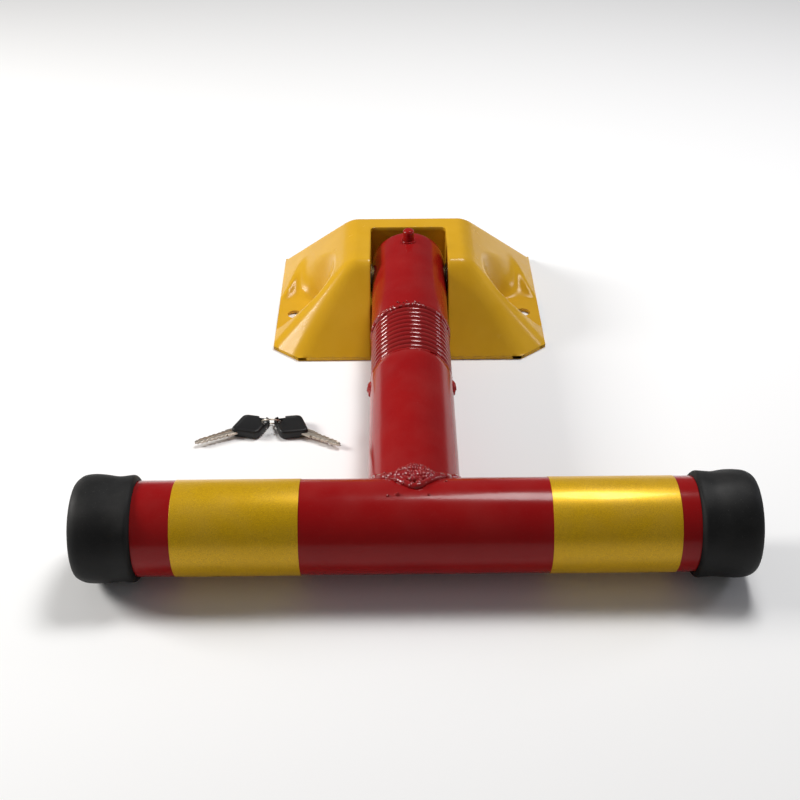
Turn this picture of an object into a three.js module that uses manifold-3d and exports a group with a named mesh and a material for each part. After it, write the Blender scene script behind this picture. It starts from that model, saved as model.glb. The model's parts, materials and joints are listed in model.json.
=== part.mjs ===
// Folding parking lock: a pressed base cover over a welded hinge channel,
// and a T-shaped barrier on a buffer spring.
// Millimetres, +Z up. The origin is the centre of the base's footprint on the ground,
// and the barrier lies towards -Y.
import * as THREE from "three";
import { ConvexGeometry } from "three/addons/geometries/ConvexGeometry.js";
import { mergeVertices } from "three/addons/utils/BufferGeometryUtils.js";
import Module from "manifold-3d";

// ---------------------------------------------------------------- clearances
const WELD_GAP = 0.3; // between pieces that are welded or clamped face to face
const RUN_GAP = 0.1; // radial, axle in bush
const SLIDE_GAP = 0.4; // radial, sliding bolt in its holes, washers on the axle
const TAPE_GAP = 0.05; // stuck tape on its tube
const COIL_GAP = 0.1; // between the spring's turns
const SLOT_GAP = 1.4; // stub tube to each cheek
const SWING_GAP = 0.5; // the tail's sweep over the keeper
const TAIL_GAP = 1; // the tail's rounded edge outside the tube's radius
const STUD_GAP = 2; // the upright barrier's stud to the cover's slot
const AXLE_GAP = 1.2; // sliding bolt under the axle
const THROUGH = 1; // how far a cutter passes a face

// ---------------------------------------------------------------- base cover
const COVER_WIDTH = 222;
const COVER_DEPTH = 165;
const COVER_OVER_PIVOT = 25;
const COVER_SHEET = 3;
const COVER_RIM = 3; // upright edge at the ground
const TOP_STRIP = 16.6; // top face beside the slot
const TOP_FRONT_Y = -36.5;
const TOP_BACK_Y = 39.5;
const CORNER_X = 21; // front corner facets, along X
const CORNER_Y = 17.5; // front corner facets, along Y
const ANCHOR_INSET = 14; // hole centre from the cover's side
const ANCHOR_Y = -15;
const ANCHOR_HOLE_R = 6;
const RECESS_FLOOR_R = 18;
const RECESS_TOP_R = 32;
const RECESS_HEIGHT = 40;

// ---------------------------------------------------------------- hinge channel and axle
const CHEEK_SHEET = 3;
const CHEEK_FRONT_Y = -77;
const PIVOT_Y = -21;
const TUBE_LIFT = 11; // ground to the stub's underside at the pivot
const AXLE_R = 7;
const AXLE_HEAD_R = 12;
const AXLE_HEAD = 9;
const AXLE_NUT = 11;
const AXLE_TAIL = 3; // thread past the nut
const WASHER_R = 14;
const WASHER = 2;
const LEDGE_WIDTH = 20;
const LEDGE_DEPTH = 3.5;
const LEDGE_HEIGHT = 8;
const KEEPER_SHEET = 4;
const KEEPER_FRONT_Y = -75;
const KEEPER_BACK_Y = 14;
const BOSS_WIDTH = 30;
const BOSS_DEPTH = 18;

// ---------------------------------------------------------------- barrier
const TUBE_R = 30;
const TUBE_WALL = 2.5;
const BARRIER_REACH = 303; // pivot to crossbar axis, measured along the ground
const CAP_WALL = 5;
const STUB_TAIL = 22.5; // stub tube past the pivot
const STUB_LENGTH = 110.5;
const SPRING_WIRE_R = 2.7;
const SPRING_TURNS = 10;
const STUB_GRIP = 20; // spigot inside the stub tube
const POST_GRIP = 30; // spigot inside the post tube
const SPIGOT_NOSE = 9; // spigot inside the coil
const SPIGOT_WALL = 5;
const PLUG_WELD_R = 4.2;
const PLUG_WELD_BACK = 8; // from the tube's end
const PLUG_WELD_RISE = 2; // proud of the tube
const CROSSBAR_LENGTH = 414;
const CAP_END = 4.8;
const CAP_LENGTH = 39;
const CAP_LIP = 1.5; // rounded edge of the mouth
const CAP_WAIST = 1.2; // how far the skirt draws in
const CAP_SHOULDER = 7; // rounding of the closed end
const TAPE_WIDTH = 78;
const TAPE_SPACING = 233; // between the two bands' centres
const TAPE_SHIFT = 6;
const TAPE = 0.3;
const BEAD_R = 3.2;
const BEAD_RUNS = 28; // straight runs round the weld line
const STUD_R = 4.5;
const STUD_PAST_PIVOT = 9;
const STUD_HEIGHT = 10;
const STUD_ROOT = 3; // below the tube's inner wall
const STUD_EDGE = 1.5; // rounded rim of its top
const STUD_SHOULDER = 0.45;
const BUSH_WALL = 2;
const BUSH_LIP = 2.5;
const BUSH_FLANGE = 0.8;
const BUSH_LENGTH = 6;
const END_PLATE = 3;

// ---------------------------------------------------------------- lock in the stub
const LOCK_Y = -52; // lock centre, from the pivot
const BARREL_R = 10;
const BARREL_TOP = -9;
const FLANGE_R = 13;
const FLANGE = 2;
const PLUG_R = 7;
const KEYWAY_WIDTH = 2.6;
const KEYWAY_HEIGHT = 9;
const KEYWAY_DEPTH = 20;
const LOCK_NUT_R = 14;
const LOCK_NUT = 5;
const CAM_R = 12;
const CAM = 3.2;
const CAM_THROW = 8.5; // drive pin to plug axis
const PIN_R = 3;
const SCREW_R = 1.9;
const SCREW_HEAD_R = 3.4;
const SCREW_HEAD = 1.9;
const SCREW_LENGTH = 6;
const BOLT_R = 5;
const BOLT_REST_TIP = 24; // bolt tip past the pivot, drawn back
const YOKE = 3;
const YOKE_WIDTH = 32;
const YOKE_SLOT_GAP = 0.5;
const WEB = 5;
const GUIDE = 4;
const GUIDE_Y = -19.5;

// ---------------------------------------------------------------- keys
const KEY_RING_R = 7;
const KEY_WIRE_R = 0.8;
const KEY_RING_TILT = THREE.MathUtils.degToRad(50);
const KEY_RING_AT = [-104.2, -173.5];
const KEY_HEAD_LONG = 33;
const KEY_HEAD_WIDE = 27;
const KEY_HEAD = 7;
const KEY_HEAD_CORNER = 4.5;
const KEY_HOLE_R = 3.6;
const KEY_HOLE_INSET = 6.2; // hole centre from the head's corner
const KEY_WAIST = 2.4; // head thickness around the hole
const KEY_RECESS = 2.2; // thinned ring around the hole
const BLADE_LENGTH = 27;
const BLADE_WIDTH = 8;
const BLADE = 2;
const BLADE_ROOT = 12; // blade held inside the head
const BLADE_NOTCHES = 6; // along each edge
const BLADE_SHOULDER = 3; // uncut, next to the head
const BLADE_POINT = 4; // uncut, at the tip
const NOTCH_STEP = 0.5; // how deep each cut goes
const KEY_TURNS = [206, -31]; // blade headings seen from above, degrees

// ---------------------------------------------------------------- fits
const PIVOT_Z = TUBE_R + TUBE_LIFT;
const COVER_HEIGHT = PIVOT_Z + COVER_OVER_PIVOT;
const CAP_R = TUBE_R + CAP_WALL;
const SLOT_WIDTH = 2 * (TUBE_R + SLOT_GAP);
const SLOT_BACK_Y = PIVOT_Y + TUBE_R + STUD_HEIGHT + STUD_GAP;
const TOP_WIDTH = SLOT_WIDTH + 2 * TOP_STRIP;
const ANCHOR_X = COVER_WIDTH / 2 - ANCHOR_INSET;
const STUB_SWING_R = TUBE_R + TAIL_GAP;
const BOSS_TOP = PIVOT_Z - STUB_SWING_R - SWING_GAP;
const SPRING_PITCH = 2 * SPRING_WIRE_R + COIL_GAP;
const BUSH_R = AXLE_R + BUSH_WALL;
const BUSH_FLANGE_R = BUSH_R + BUSH_LIP;
const BOLT_Z = -(AXLE_R + AXLE_GAP + BOLT_R);

const wasm = await Module();
wasm.setup();

// ---------------------------------------------------------------- solids
// A three.js geometry as a manifold solid.
function solid(geometry) {
  const bare = geometry.clone();
  bare.deleteAttribute("normal");
  bare.deleteAttribute("uv");
  const merged = mergeVertices(bare, 1e-4);
  return new wasm.Manifold(
    new wasm.Mesh({
      numProp: 3,
      vertProperties: new Float32Array(merged.attributes.position.array),
      triVerts: new Uint32Array(merged.index.array),
    }),
  );
}

// A manifold solid as a three.js geometry.
function geometryOf(body) {
  const mesh = body.getMesh();
  const geometry = new THREE.BufferGeometry();
  geometry.setAttribute("position", new THREE.BufferAttribute(mesh.vertProperties, 3));
  geometry.setIndex(new THREE.BufferAttribute(mesh.triVerts, 1));
  geometry.computeVertexNormals();
  return geometry;
}

function box(x0, x1, y0, y1, z0, z1) {
  const geometry = new THREE.BoxGeometry(x1 - x0, y1 - y0, z1 - z0);
  geometry.translate((x0 + x1) / 2, (y0 + y1) / 2, (z0 + z1) / 2);
  return solid(geometry);
}

// Turns a geometry made along +Y so that it lies along the named axis.
function lay(geometry, axis) {
  if (axis === "x") geometry.rotateZ(-Math.PI / 2);
  if (axis === "z") geometry.rotateX(Math.PI / 2);
  return geometry;
}

// A round bar from one height to another along an axis, centred on at = [x, y, z].
function rod(axis, radius, from, to, at = [0, 0, 0], sides = 32, endRadius = radius) {
  const geometry = new THREE.CylinderGeometry(endRadius, radius, to - from, sides);
  geometry.translate(0, (from + to) / 2, 0);
  return solid(lay(geometry, axis).translate(...at));
}

// A ring or a pipe: the outer bar less the inner one.
function pipe(axis, outer, inner, from, to, at, sides) {
  const bore = rod(axis, inner, from - THROUGH, to + THROUGH, at, sides);
  return rod(axis, outer, from, to, at, sides).subtract(bore);
}

// A turned solid: profile points are [radius, height] and the axis is named.
function turned(axis, profile, sides = 48) {
  const points = profile.map(([r, h]) => new THREE.Vector2(r, h));
  return solid(lay(new THREE.LatheGeometry(points, sides), axis));
}

// A flat outline in XY raised from z0 to z1.
function slab(points, z0, z1, holes = []) {
  const shape = new THREE.Shape(points.map(([x, y]) => new THREE.Vector2(x, y)));
  const geometry = new THREE.ExtrudeGeometry(shape, { depth: z1 - z0, bevelEnabled: false });
  return holes.reduce((body, hole) => body.subtract(hole), solid(geometry.translate(0, 0, z0)));
}

// A round wire along an open curve.
function wire(curve, radius, steps) {
  const section = new THREE.Shape();
  section.absarc(0, 0, radius, 0, Math.PI * 2);
  const settings = { extrudePath: curve, steps, curveSegments: 3, bevelEnabled: false };
  return solid(new THREE.ExtrudeGeometry(section, settings));
}

// ---------------------------------------------------------------- materials
function paint(color, roughness, metalness) {
  return new THREE.MeshStandardMaterial({ color, roughness, metalness });
}
const YELLOW = paint(0xe0a81c, 0.3, 0);
const RED = paint(0xa81e22, 0.25, 0);
const TAPE_GOLD = paint(0xd9a514, 0.35, 0.3);
const RUBBER = paint(0x1b1c1c, 0.7, 0);
const PLASTIC = paint(0x161616, 0.45, 0);
const ZINC = paint(0xb9bcc0, 0.35, 0.9);
const STEEL = paint(0x8c8f93, 0.45, 0.9);
const BRASS = paint(0xc0a050, 0.35, 0.9);
const NICKEL = paint(0xb7aa98, 0.3, 0.9);

const part = new THREE.Group();

function add(group, name, body, material) {
  const mesh = new THREE.Mesh(geometryOf(body), material);
  mesh.name = name;
  group.add(mesh);
  return mesh;
}

// ---------------------------------------------------------------- base
// The cover's outer shape, or the same shape moved in by a wall.
function coverShape(inset) {
  const topZ = COVER_HEIGHT - inset;
  const rise = COVER_HEIGHT - COVER_RIM;
  const lean = (run) => Math.hypot(rise, run) / rise;
  const sideRun = (COVER_WIDTH - TOP_WIDTH) / 2;
  const frontRun = TOP_FRONT_Y + COVER_DEPTH / 2;
  const backRun = COVER_DEPTH / 2 - TOP_BACK_Y;
  const sideIn = inset * lean(sideRun);
  const frontIn = inset * lean(frontRun);
  const backIn = inset * lean(backRun);
  // The slopes reach the lowered top a little further out.
  const drop = inset / rise;
  const topX = TOP_WIDTH / 2 + sideRun * drop - sideIn;
  const topFront = TOP_FRONT_Y - frontRun * drop + frontIn;
  const topBack = TOP_BACK_Y + backRun * drop - backIn;
  const footX = COVER_WIDTH / 2 - sideIn;
  const footFront = -COVER_DEPTH / 2 + frontIn;
  const footBack = COVER_DEPTH / 2 - backIn;
  const points = [];
  for (const side of [-1, 1]) {
    points.push([side * topX, topFront, topZ], [side * topX, topBack, topZ]);
    for (const z of [inset ? -THROUGH : 0, COVER_RIM]) {
      points.push([side * (footX - CORNER_X), footFront, z]);
      points.push([side * footX, footFront + CORNER_Y, z]);
      points.push([side * footX, footBack, z]);
    }
  }
  return solid(new ConvexGeometry(points.map((p) => new THREE.Vector3(...p))));
}

// The pocket pressed into a side slope around an anchor hole.
function recess(side) {
  const at = [side * ANCHOR_X, ANCHOR_Y, COVER_SHEET];
  return rod("z", RECESS_FLOOR_R, 0, RECESS_HEIGHT, at, 32, RECESS_TOP_R);
}

// The same pocket with its sheet around it, down past the ground.
function recessWithWall(side) {
  const at = [side * ANCHOR_X, ANCHOR_Y, 0];
  const floorR = RECESS_FLOOR_R + COVER_SHEET;
  const cup = rod("z", floorR, 0, RECESS_HEIGHT, at, 32, RECESS_TOP_R + COVER_SHEET);
  return cup.add(rod("z", floorR, -THROUGH * 2, THROUGH, at));
}

function baseCover() {
  let inside = coverShape(COVER_SHEET);
  let cover = coverShape(0);
  for (const side of [-1, 1]) {
    inside = inside.subtract(recessWithWall(side));
    cover = cover.subtract(recess(side));
  }
  cover = cover.subtract(inside);
  for (const side of [-1, 1]) {
    const at = [side * ANCHOR_X, ANCHOR_Y, 0];
    cover = cover.subtract(rod("z", ANCHOR_HOLE_R, -THROUGH, COVER_SHEET + THROUGH, at));
  }
  return cover.subtract(
    box(-SLOT_WIDTH / 2, SLOT_WIDTH / 2, -COVER_DEPTH, SLOT_BACK_Y, -THROUGH, COVER_HEIGHT + THROUGH),
  );
}

const CHEEK_IN = SLOT_WIDTH / 2;
const CHEEK_OUT = CHEEK_IN + CHEEK_SHEET;
const WALL_FRONT_Y = SLOT_BACK_Y + WELD_GAP;
const LEDGE_TOP = PIVOT_Z - STUD_PAST_PIVOT - STUD_R - WELD_GAP;

// Two cheeks and a back wall, with the ledge that the raised barrier's stud comes down on.
function hingeChannel() {
  const outer = box(-CHEEK_OUT, CHEEK_OUT, CHEEK_FRONT_Y, WALL_FRONT_Y + CHEEK_SHEET, 0, COVER_HEIGHT);
  const above = COVER_HEIGHT + THROUGH;
  const inner = box(-CHEEK_IN, CHEEK_IN, CHEEK_FRONT_Y - THROUGH, WALL_FRONT_Y, -THROUGH, above);
  const ledgeFront = WALL_FRONT_Y - LEDGE_DEPTH;
  const ledgeFoot = LEDGE_TOP - LEDGE_HEIGHT;
  const half = LEDGE_WIDTH / 2;
  const ledge = box(-half, half, ledgeFront, WALL_FRONT_Y + THROUGH, ledgeFoot, LEDGE_TOP);
  const axleHole = rod("x", AXLE_R + SLIDE_GAP, -COVER_WIDTH, COVER_WIDTH, [0, PIVOT_Y, PIVOT_Z]);
  const under = coverShape(COVER_SHEET + WELD_GAP);
  return outer.subtract(inner).add(ledge).intersect(under).subtract(axleHole);
}

function keeperPlate() {
  const halfWidth = CHEEK_IN - WELD_GAP;
  const boltY = PIVOT_Y + BOLT_Z;
  const plate = box(-halfWidth, halfWidth, KEEPER_FRONT_Y, KEEPER_BACK_Y, 0, KEEPER_SHEET);
  const halfBoss = BOSS_WIDTH / 2;
  const boss = box(-halfBoss, halfBoss, boltY - BOSS_DEPTH / 2, boltY + BOSS_DEPTH / 2, 0, BOSS_TOP);
  return plate.add(boss).subtract(rod("z", BOLT_R + SLIDE_GAP, -THROUGH, BOSS_TOP + THROUGH, [0, boltY, 0]));
}

const base = new THREE.Group();
part.add(base);
add(base, "base_cover", baseCover(), YELLOW);
add(base, "hinge_channel", hingeChannel(), YELLOW);
add(base, "keeper_plate", keeperPlate(), YELLOW);

const axle = new THREE.Group();
axle.position.set(0, PIVOT_Y, PIVOT_Z);
base.add(axle);
const washerIn = CHEEK_OUT + WELD_GAP;
const washerOut = washerIn + WASHER;
const headIn = washerOut + WELD_GAP;
const nutOut = headIn + AXLE_NUT;
const axleShank = rod("x", AXLE_R, -headIn - THROUGH, nutOut + AXLE_TAIL);
const axleHead = rod("x", AXLE_HEAD_R, -headIn - AXLE_HEAD, -headIn, [0, 0, 0], 6);
add(axle, "axle_bolt", axleShank.add(axleHead), ZINC);
add(axle, "axle_washer_left", pipe("x", WASHER_R, AXLE_R + SLIDE_GAP, -washerOut, -washerIn), ZINC);
add(axle, "axle_washer_right", pipe("x", WASHER_R, AXLE_R + SLIDE_GAP, washerIn, washerOut), ZINC);
const nutBore = rod("x", AXLE_R + WELD_GAP, headIn - THROUGH, nutOut + THROUGH);
add(axle, "axle_nut", rod("x", AXLE_HEAD_R, headIn, nutOut, [0, 0, 0], 6).subtract(nutBore), ZINC);

// ---------------------------------------------------------------- barrier frame
// Local frame of the barrier: origin on the pivot, -Y along the barrier, +Z its upper side when folded.
const barrierDrop = PIVOT_Z - CAP_R;
const barrierLength = Math.hypot(BARRIER_REACH, barrierDrop);
const barrier = new THREE.Group();
barrier.position.set(0, PIVOT_Y, PIVOT_Z);
barrier.rotation.x = Math.atan2(barrierDrop, BARRIER_REACH);
part.add(barrier);

const TUBE_IN = TUBE_R - TUBE_WALL;
const INSERT_R = TUBE_IN - WELD_GAP;
const stubFrontY = STUB_TAIL - STUB_LENGTH;
const springLength = SPRING_TURNS * SPRING_PITCH + 2 * SPRING_WIRE_R;
const postBackY = stubFrontY - springLength - 2 * WELD_GAP;
const springMidY = (stubFrontY + postBackY) / 2;

// What the tail loses so that it can swing over the keeper plate.
function tailCut(radius) {
  const corner = box(-TUBE_R * 2, TUBE_R * 2, 0, STUB_TAIL + THROUGH, -TUBE_R - THROUGH, 0);
  return corner.subtract(rod("x", radius, -TUBE_R * 3, TUBE_R * 3, [0, 0, 0], 64));
}

function stubTube() {
  const whole = pipe("y", TUBE_R, TUBE_IN, stubFrontY, STUB_TAIL, [0, 0, 0], 48);
  const tube = whole.subtract(tailCut(STUB_SWING_R));
  const bushHoles = rod("x", BUSH_R + WELD_GAP, -TUBE_R * 2, TUBE_R * 2);
  const studHole = rod("z", STUD_R + WELD_GAP, 0, TUBE_R * 2, [0, STUD_PAST_PIVOT, 0], 24);
  const lockHole = rod("z", BARREL_R + WELD_GAP, -TUBE_R * 2, 0, [0, LOCK_Y, 0]);
  return tube.subtract(bushHoles).subtract(studHole).subtract(lockHole);
}

function endPlate() {
  const boltHole = rod("y", BOLT_R + SLIDE_GAP, 0, STUB_TAIL * 2, [0, 0, BOLT_Z]);
  const back = STUB_TAIL - WELD_GAP;
  const disc = rod("y", INSERT_R, back - END_PLATE, back, [0, 0, 0], 48);
  const trimmed = disc.subtract(tailCut(STUB_SWING_R - WELD_GAP));
  return trimmed.subtract(boltHole);
}

function limitStud() {
  const top = TUBE_R + STUD_HEIGHT;
  const foot = TUBE_IN - STUD_ROOT;
  const profile = [
    [0, foot],
    [STUD_R, foot],
    [STUD_R, top - STUD_EDGE],
    [STUD_R - STUD_SHOULDER, top - STUD_SHOULDER],
    [STUD_R - STUD_EDGE, top],
    [0, top],
  ];
  return turned("z", profile, 24).translate(0, STUD_PAST_PIVOT, 0);
}

function axleBush(side) {
  const flangeIn = TUBE_R + WELD_GAP / 2;
  const flangeOut = flangeIn + BUSH_FLANGE;
  const span = (from, to) => (side > 0 ? [from, to] : [-to, -from]);
  const sleeve = rod("x", BUSH_R, ...span(flangeOut - BUSH_LENGTH, flangeOut));
  const flange = rod("x", BUSH_FLANGE_R, ...span(flangeIn, flangeOut));
  return sleeve.add(flange).subtract(rod("x", AXLE_R + RUN_GAP, -TUBE_R * 2, TUBE_R * 2));
}

// A stepped insert welded into a tube's end, with a nose that the coil is screwed onto.
function spigot(endY, out, grip) {
  const span = (from, to) => (out > 0 ? [endY + from, endY + to] : [endY - to, endY - from]);
  const noseR = TUBE_R - 2 * SPRING_WIRE_R - SLIDE_GAP;
  const shank = rod("y", INSERT_R, ...span(-grip, 0), [0, 0, 0], 48);
  const nose = rod("y", noseR, ...span(-THROUGH, SPIGOT_NOSE), [0, 0, 0], 48);
  const bore = rod("y", noseR - SPIGOT_WALL, ...span(-grip - THROUGH, SPIGOT_NOSE + THROUGH), [0, 0, 0], 32);
  return shank.add(nose).subtract(bore);
}

add(barrier, "stub_tube", stubTube(), RED);
add(barrier, "stub_end_plate", endPlate(), RED);
add(barrier, "limit_stud", limitStud(), RED);
add(barrier, "axle_bush_left", axleBush(-1), BRASS);
add(barrier, "axle_bush_right", axleBush(1), BRASS);
add(barrier, "stub_spigot", spigot(stubFrontY, -1, STUB_GRIP), STEEL);

// ---------------------------------------------------------------- lock
const flangeTop = -TUBE_R - WELD_GAP;
const flangeFace = flangeTop - FLANGE;
const plugTop = BARREL_TOP + THROUGH;
const camFoot = plugTop + WELD_GAP;
const camTop = camFoot + CAM;
const yokeFoot = camTop + YOKE_SLOT_GAP;
const yokeTop = yokeFoot + YOKE;
const screwTop = camTop - WELD_GAP;
const pinReach = CAM_THROW * Math.SQRT1_2; // the throw's share along X and Y at 45 degrees

const lock = new THREE.Group();
lock.position.set(0, LOCK_Y, 0);
barrier.add(lock);

function lockBarrel() {
  const body = rod("z", BARREL_R, flangeFace, BARREL_TOP).add(rod("z", FLANGE_R, flangeFace, flangeTop));
  return body.subtract(rod("z", PLUG_R + RUN_GAP, flangeFace - THROUGH, BARREL_TOP + THROUGH));
}

function lockPlug() {
  const face = flangeFace + WELD_GAP;
  const halfWide = KEYWAY_WIDTH / 2;
  const halfTall = KEYWAY_HEIGHT / 2;
  const keyway = box(-halfWide, halfWide, -halfTall, halfTall, face - THROUGH, face + KEYWAY_DEPTH);
  const screwFoot = screwTop - SCREW_HEAD - SCREW_LENGTH;
  const screwHole = rod("z", SCREW_R + WELD_GAP, screwFoot - WELD_GAP, 0, [0, 0, 0], 16);
  return rod("z", PLUG_R, face, plugTop).subtract(keyway).subtract(screwHole);
}

// A disc with an off-centre drive pin and a sunk seat for its screw.
function lockCam() {
  const pin = rod("z", PIN_R, camFoot, yokeTop, [pinReach, -pinReach, 0], 24);
  const seatFoot = screwTop - SCREW_HEAD - WELD_GAP;
  const seat = rod("z", SCREW_HEAD_R + WELD_GAP, seatFoot, camTop + THROUGH, [0, 0, 0], 16);
  const hole = rod("z", SCREW_R + WELD_GAP, camFoot - THROUGH, camTop + THROUGH, [0, 0, 0], 16);
  return rod("z", CAM_R, camFoot, camTop).subtract(seat).subtract(hole).add(pin);
}

function camScrew() {
  const headFoot = screwTop - SCREW_HEAD;
  const shank = rod("z", SCREW_R, headFoot - SCREW_LENGTH, headFoot + WELD_GAP, [0, 0, 0], 16);
  return shank.add(rod("z", SCREW_HEAD_R, headFoot, screwTop, [0, 0, 0], 16));
}

// A slotted yoke over the cam and a round bar that runs under the axle to the tail.
function lockBolt() {
  const yokeY = -pinReach;
  const yokeHalf = CAM_R;
  const webBack = Math.max(CAM_R, LOCK_NUT_R) + SLIDE_GAP + WEB;
  const yoke = box(-YOKE_WIDTH / 2, YOKE_WIDTH / 2, yokeY - yokeHalf, webBack, yokeFoot, yokeTop);
  const slotIn = pinReach - PIN_R - THROUGH;
  const slotOut = CAM_THROW + PIN_R + THROUGH;
  const slotHalf = PIN_R + YOKE_SLOT_GAP;
  const slotFront = yokeY - slotHalf;
  const slotBack = yokeY + slotHalf;
  const slot = box(slotIn, slotOut, slotFront, slotBack, yokeFoot - THROUGH, yokeTop + THROUGH);
  const web = box(-BOLT_R, BOLT_R, webBack - WEB, webBack, BOLT_Z - BOLT_R, yokeTop);
  const bar = rod("y", BOLT_R, webBack - WEB, BOLT_REST_TIP - LOCK_Y, [0, 0, BOLT_Z]);
  return yoke.subtract(slot).add(web).add(bar);
}

function boltGuide() {
  const disc = rod("y", INSERT_R, GUIDE_Y, GUIDE_Y + GUIDE, [0, 0, 0], 48);
  const window = rod("y", TUBE_IN / 2, GUIDE_Y - THROUGH, GUIDE_Y + GUIDE + THROUGH, [0, 0, TUBE_IN / 3]);
  const boltHole = rod("y", BOLT_R + SLIDE_GAP, GUIDE_Y - THROUGH, GUIDE_Y + GUIDE + THROUGH, [0, 0, BOLT_Z]);
  return disc.subtract(window).subtract(boltHole);
}

// The nut clears the curve of the tube's inner wall.
const lockNutFoot = WELD_GAP - Math.sqrt(TUBE_IN ** 2 - LOCK_NUT_R ** 2);
add(lock, "lock_barrel", lockBarrel(), BRASS);
const lockNut = rod("z", LOCK_NUT_R, lockNutFoot, lockNutFoot + LOCK_NUT, [0, 0, 0], 6);
add(lock, "lock_nut", lockNut.subtract(rod("z", BARREL_R + WELD_GAP, -TUBE_R, 0)), ZINC);
add(lock, "lock_plug", lockPlug(), BRASS);
add(lock, "lock_cam", lockCam(), ZINC);
add(lock, "cam_screw", camScrew(), ZINC);
add(lock, "lock_bolt", lockBolt(), STEEL);
add(barrier, "bolt_guide", boltGuide(), STEEL);

// ---------------------------------------------------------------- spring
class Helix extends THREE.Curve {
  getPoint(t, target = new THREE.Vector3()) {
    const angle = 2 * Math.PI * SPRING_TURNS * t;
    const radius = TUBE_R - SPRING_WIRE_R;
    const along = SPRING_PITCH * SPRING_TURNS * (t - 0.5);
    return target.set(radius * Math.sin(angle), along, radius * Math.cos(angle));
  }
}
const spring = new THREE.Group();
spring.position.set(0, springMidY, 0);
barrier.add(spring);
add(spring, "coil_spring", wire(new Helix(), SPRING_WIRE_R, SPRING_TURNS * 20), RED);

// ---------------------------------------------------------------- post and crossbar
const CROSS_Y = -barrierLength;

function postTube() {
  const tube = pipe("y", TUBE_R, TUBE_IN, CROSS_Y, postBackY, [0, 0, 0], 48);
  const saddle = rod("x", TUBE_R + WELD_GAP, -TUBE_R * 2, TUBE_R * 2, [0, CROSS_Y, 0], 96);
  const weldY = postBackY - PLUG_WELD_BACK;
  const weldHoles = rod("x", PLUG_WELD_R + WELD_GAP, -TUBE_R * 2, TUBE_R * 2, [0, weldY, 0], 20);
  return tube.subtract(saddle).subtract(weldHoles);
}

function plugWeld(side) {
  const from = INSERT_R + WELD_GAP;
  const to = TUBE_R + PLUG_WELD_RISE;
  const span = side > 0 ? [from, to] : [-to, -from];
  return rod("x", PLUG_WELD_R, ...span, [0, postBackY - PLUG_WELD_BACK, 0], 20);
}

// A point of the line where the two equal tubes meet, at an angle about the post.
function saddlePoint(angle) {
  const radius = TUBE_R + WELD_GAP;
  const x = radius * Math.sin(angle);
  return new THREE.Vector3(x, CROSS_Y + Math.hypot(x, BEAD_R), radius * Math.cos(angle));
}

// The bead follows that line in short straight runs.
function teeWeld() {
  const corners = new THREE.OctahedronGeometry(BEAD_R, 1).getAttribute("position");
  const beads = [];
  for (let i = 0; i < BEAD_RUNS; i++) {
    const points = [];
    for (const end of [i, i + 1]) {
      const at = saddlePoint((2 * Math.PI * end) / BEAD_RUNS);
      for (let k = 0; k < corners.count; k++) {
        points.push(new THREE.Vector3().fromBufferAttribute(corners, k).add(at));
      }
    }
    beads.push(solid(new ConvexGeometry(points)));
  }
  const bead = wasm.Manifold.union(beads);
  const postCore = rod("y", TUBE_R + WELD_GAP, CROSS_Y - TUBE_R * 2, postBackY, [0, 0, 0], 96);
  const crossCore = rod("x", TUBE_R + WELD_GAP, -TUBE_R * 2, TUBE_R * 2, [0, CROSS_Y, 0], 96);
  return bead.subtract(postCore).subtract(crossCore);
}

// A push-on rubber cap, made along its own axis with the mouth at 0 and the end at CAP_LENGTH.
function endCap(side) {
  const mouth = CROSSBAR_LENGTH / 2 + CAP_END + WELD_GAP - CAP_LENGTH;
  const bore = CAP_LENGTH - CAP_END;
  const profile = [
    [TUBE_R + WELD_GAP, 0],
    [CAP_R - CAP_LIP / 2, 0],
    [CAP_R, CAP_LIP],
    [CAP_R - CAP_WAIST, CAP_LENGTH * 0.35],
    [CAP_R, CAP_LENGTH * 0.7],
    [CAP_R - CAP_SHOULDER * 0.1, CAP_LENGTH - CAP_SHOULDER],
    [CAP_R - CAP_SHOULDER * 0.5, CAP_LENGTH - CAP_SHOULDER * 0.2],
    [CAP_R - CAP_SHOULDER, CAP_LENGTH],
    [0, CAP_LENGTH],
    [0, bore],
    [TUBE_R + WELD_GAP, bore],
    [TUBE_R + WELD_GAP, 0],
  ];
  const cap = turned("x", profile, 48).translate(mouth, 0, 0);
  return (side > 0 ? cap : cap.mirror([1, 0, 0])).translate(0, CROSS_Y, 0);
}

function tapeBand(side) {
  const mid = TAPE_SHIFT + (side * TAPE_SPACING) / 2;
  const inner = TUBE_R + TAPE_GAP;
  return pipe("x", inner + TAPE, inner, mid - TAPE_WIDTH / 2, mid + TAPE_WIDTH / 2, [0, CROSS_Y, 0], 48);
}

add(barrier, "post_spigot", spigot(postBackY, 1, POST_GRIP), STEEL);
add(barrier, "post_tube", postTube(), RED);
add(barrier, "plug_weld_left", plugWeld(-1), RED);
add(barrier, "plug_weld_right", plugWeld(1), RED);
add(barrier, "tee_weld", teeWeld(), RED);
const halfBar = CROSSBAR_LENGTH / 2;
add(barrier, "crossbar_tube", pipe("x", TUBE_R, TUBE_IN, -halfBar, halfBar, [0, CROSS_Y, 0], 48), RED);
add(barrier, "tape_left", tapeBand(-1), TAPE_GOLD);
add(barrier, "tape_right", tapeBand(1), TAPE_GOLD);
add(barrier, "end_cap_left", endCap(-1), RUBBER);
add(barrier, "end_cap_right", endCap(1), RUBBER);

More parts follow.
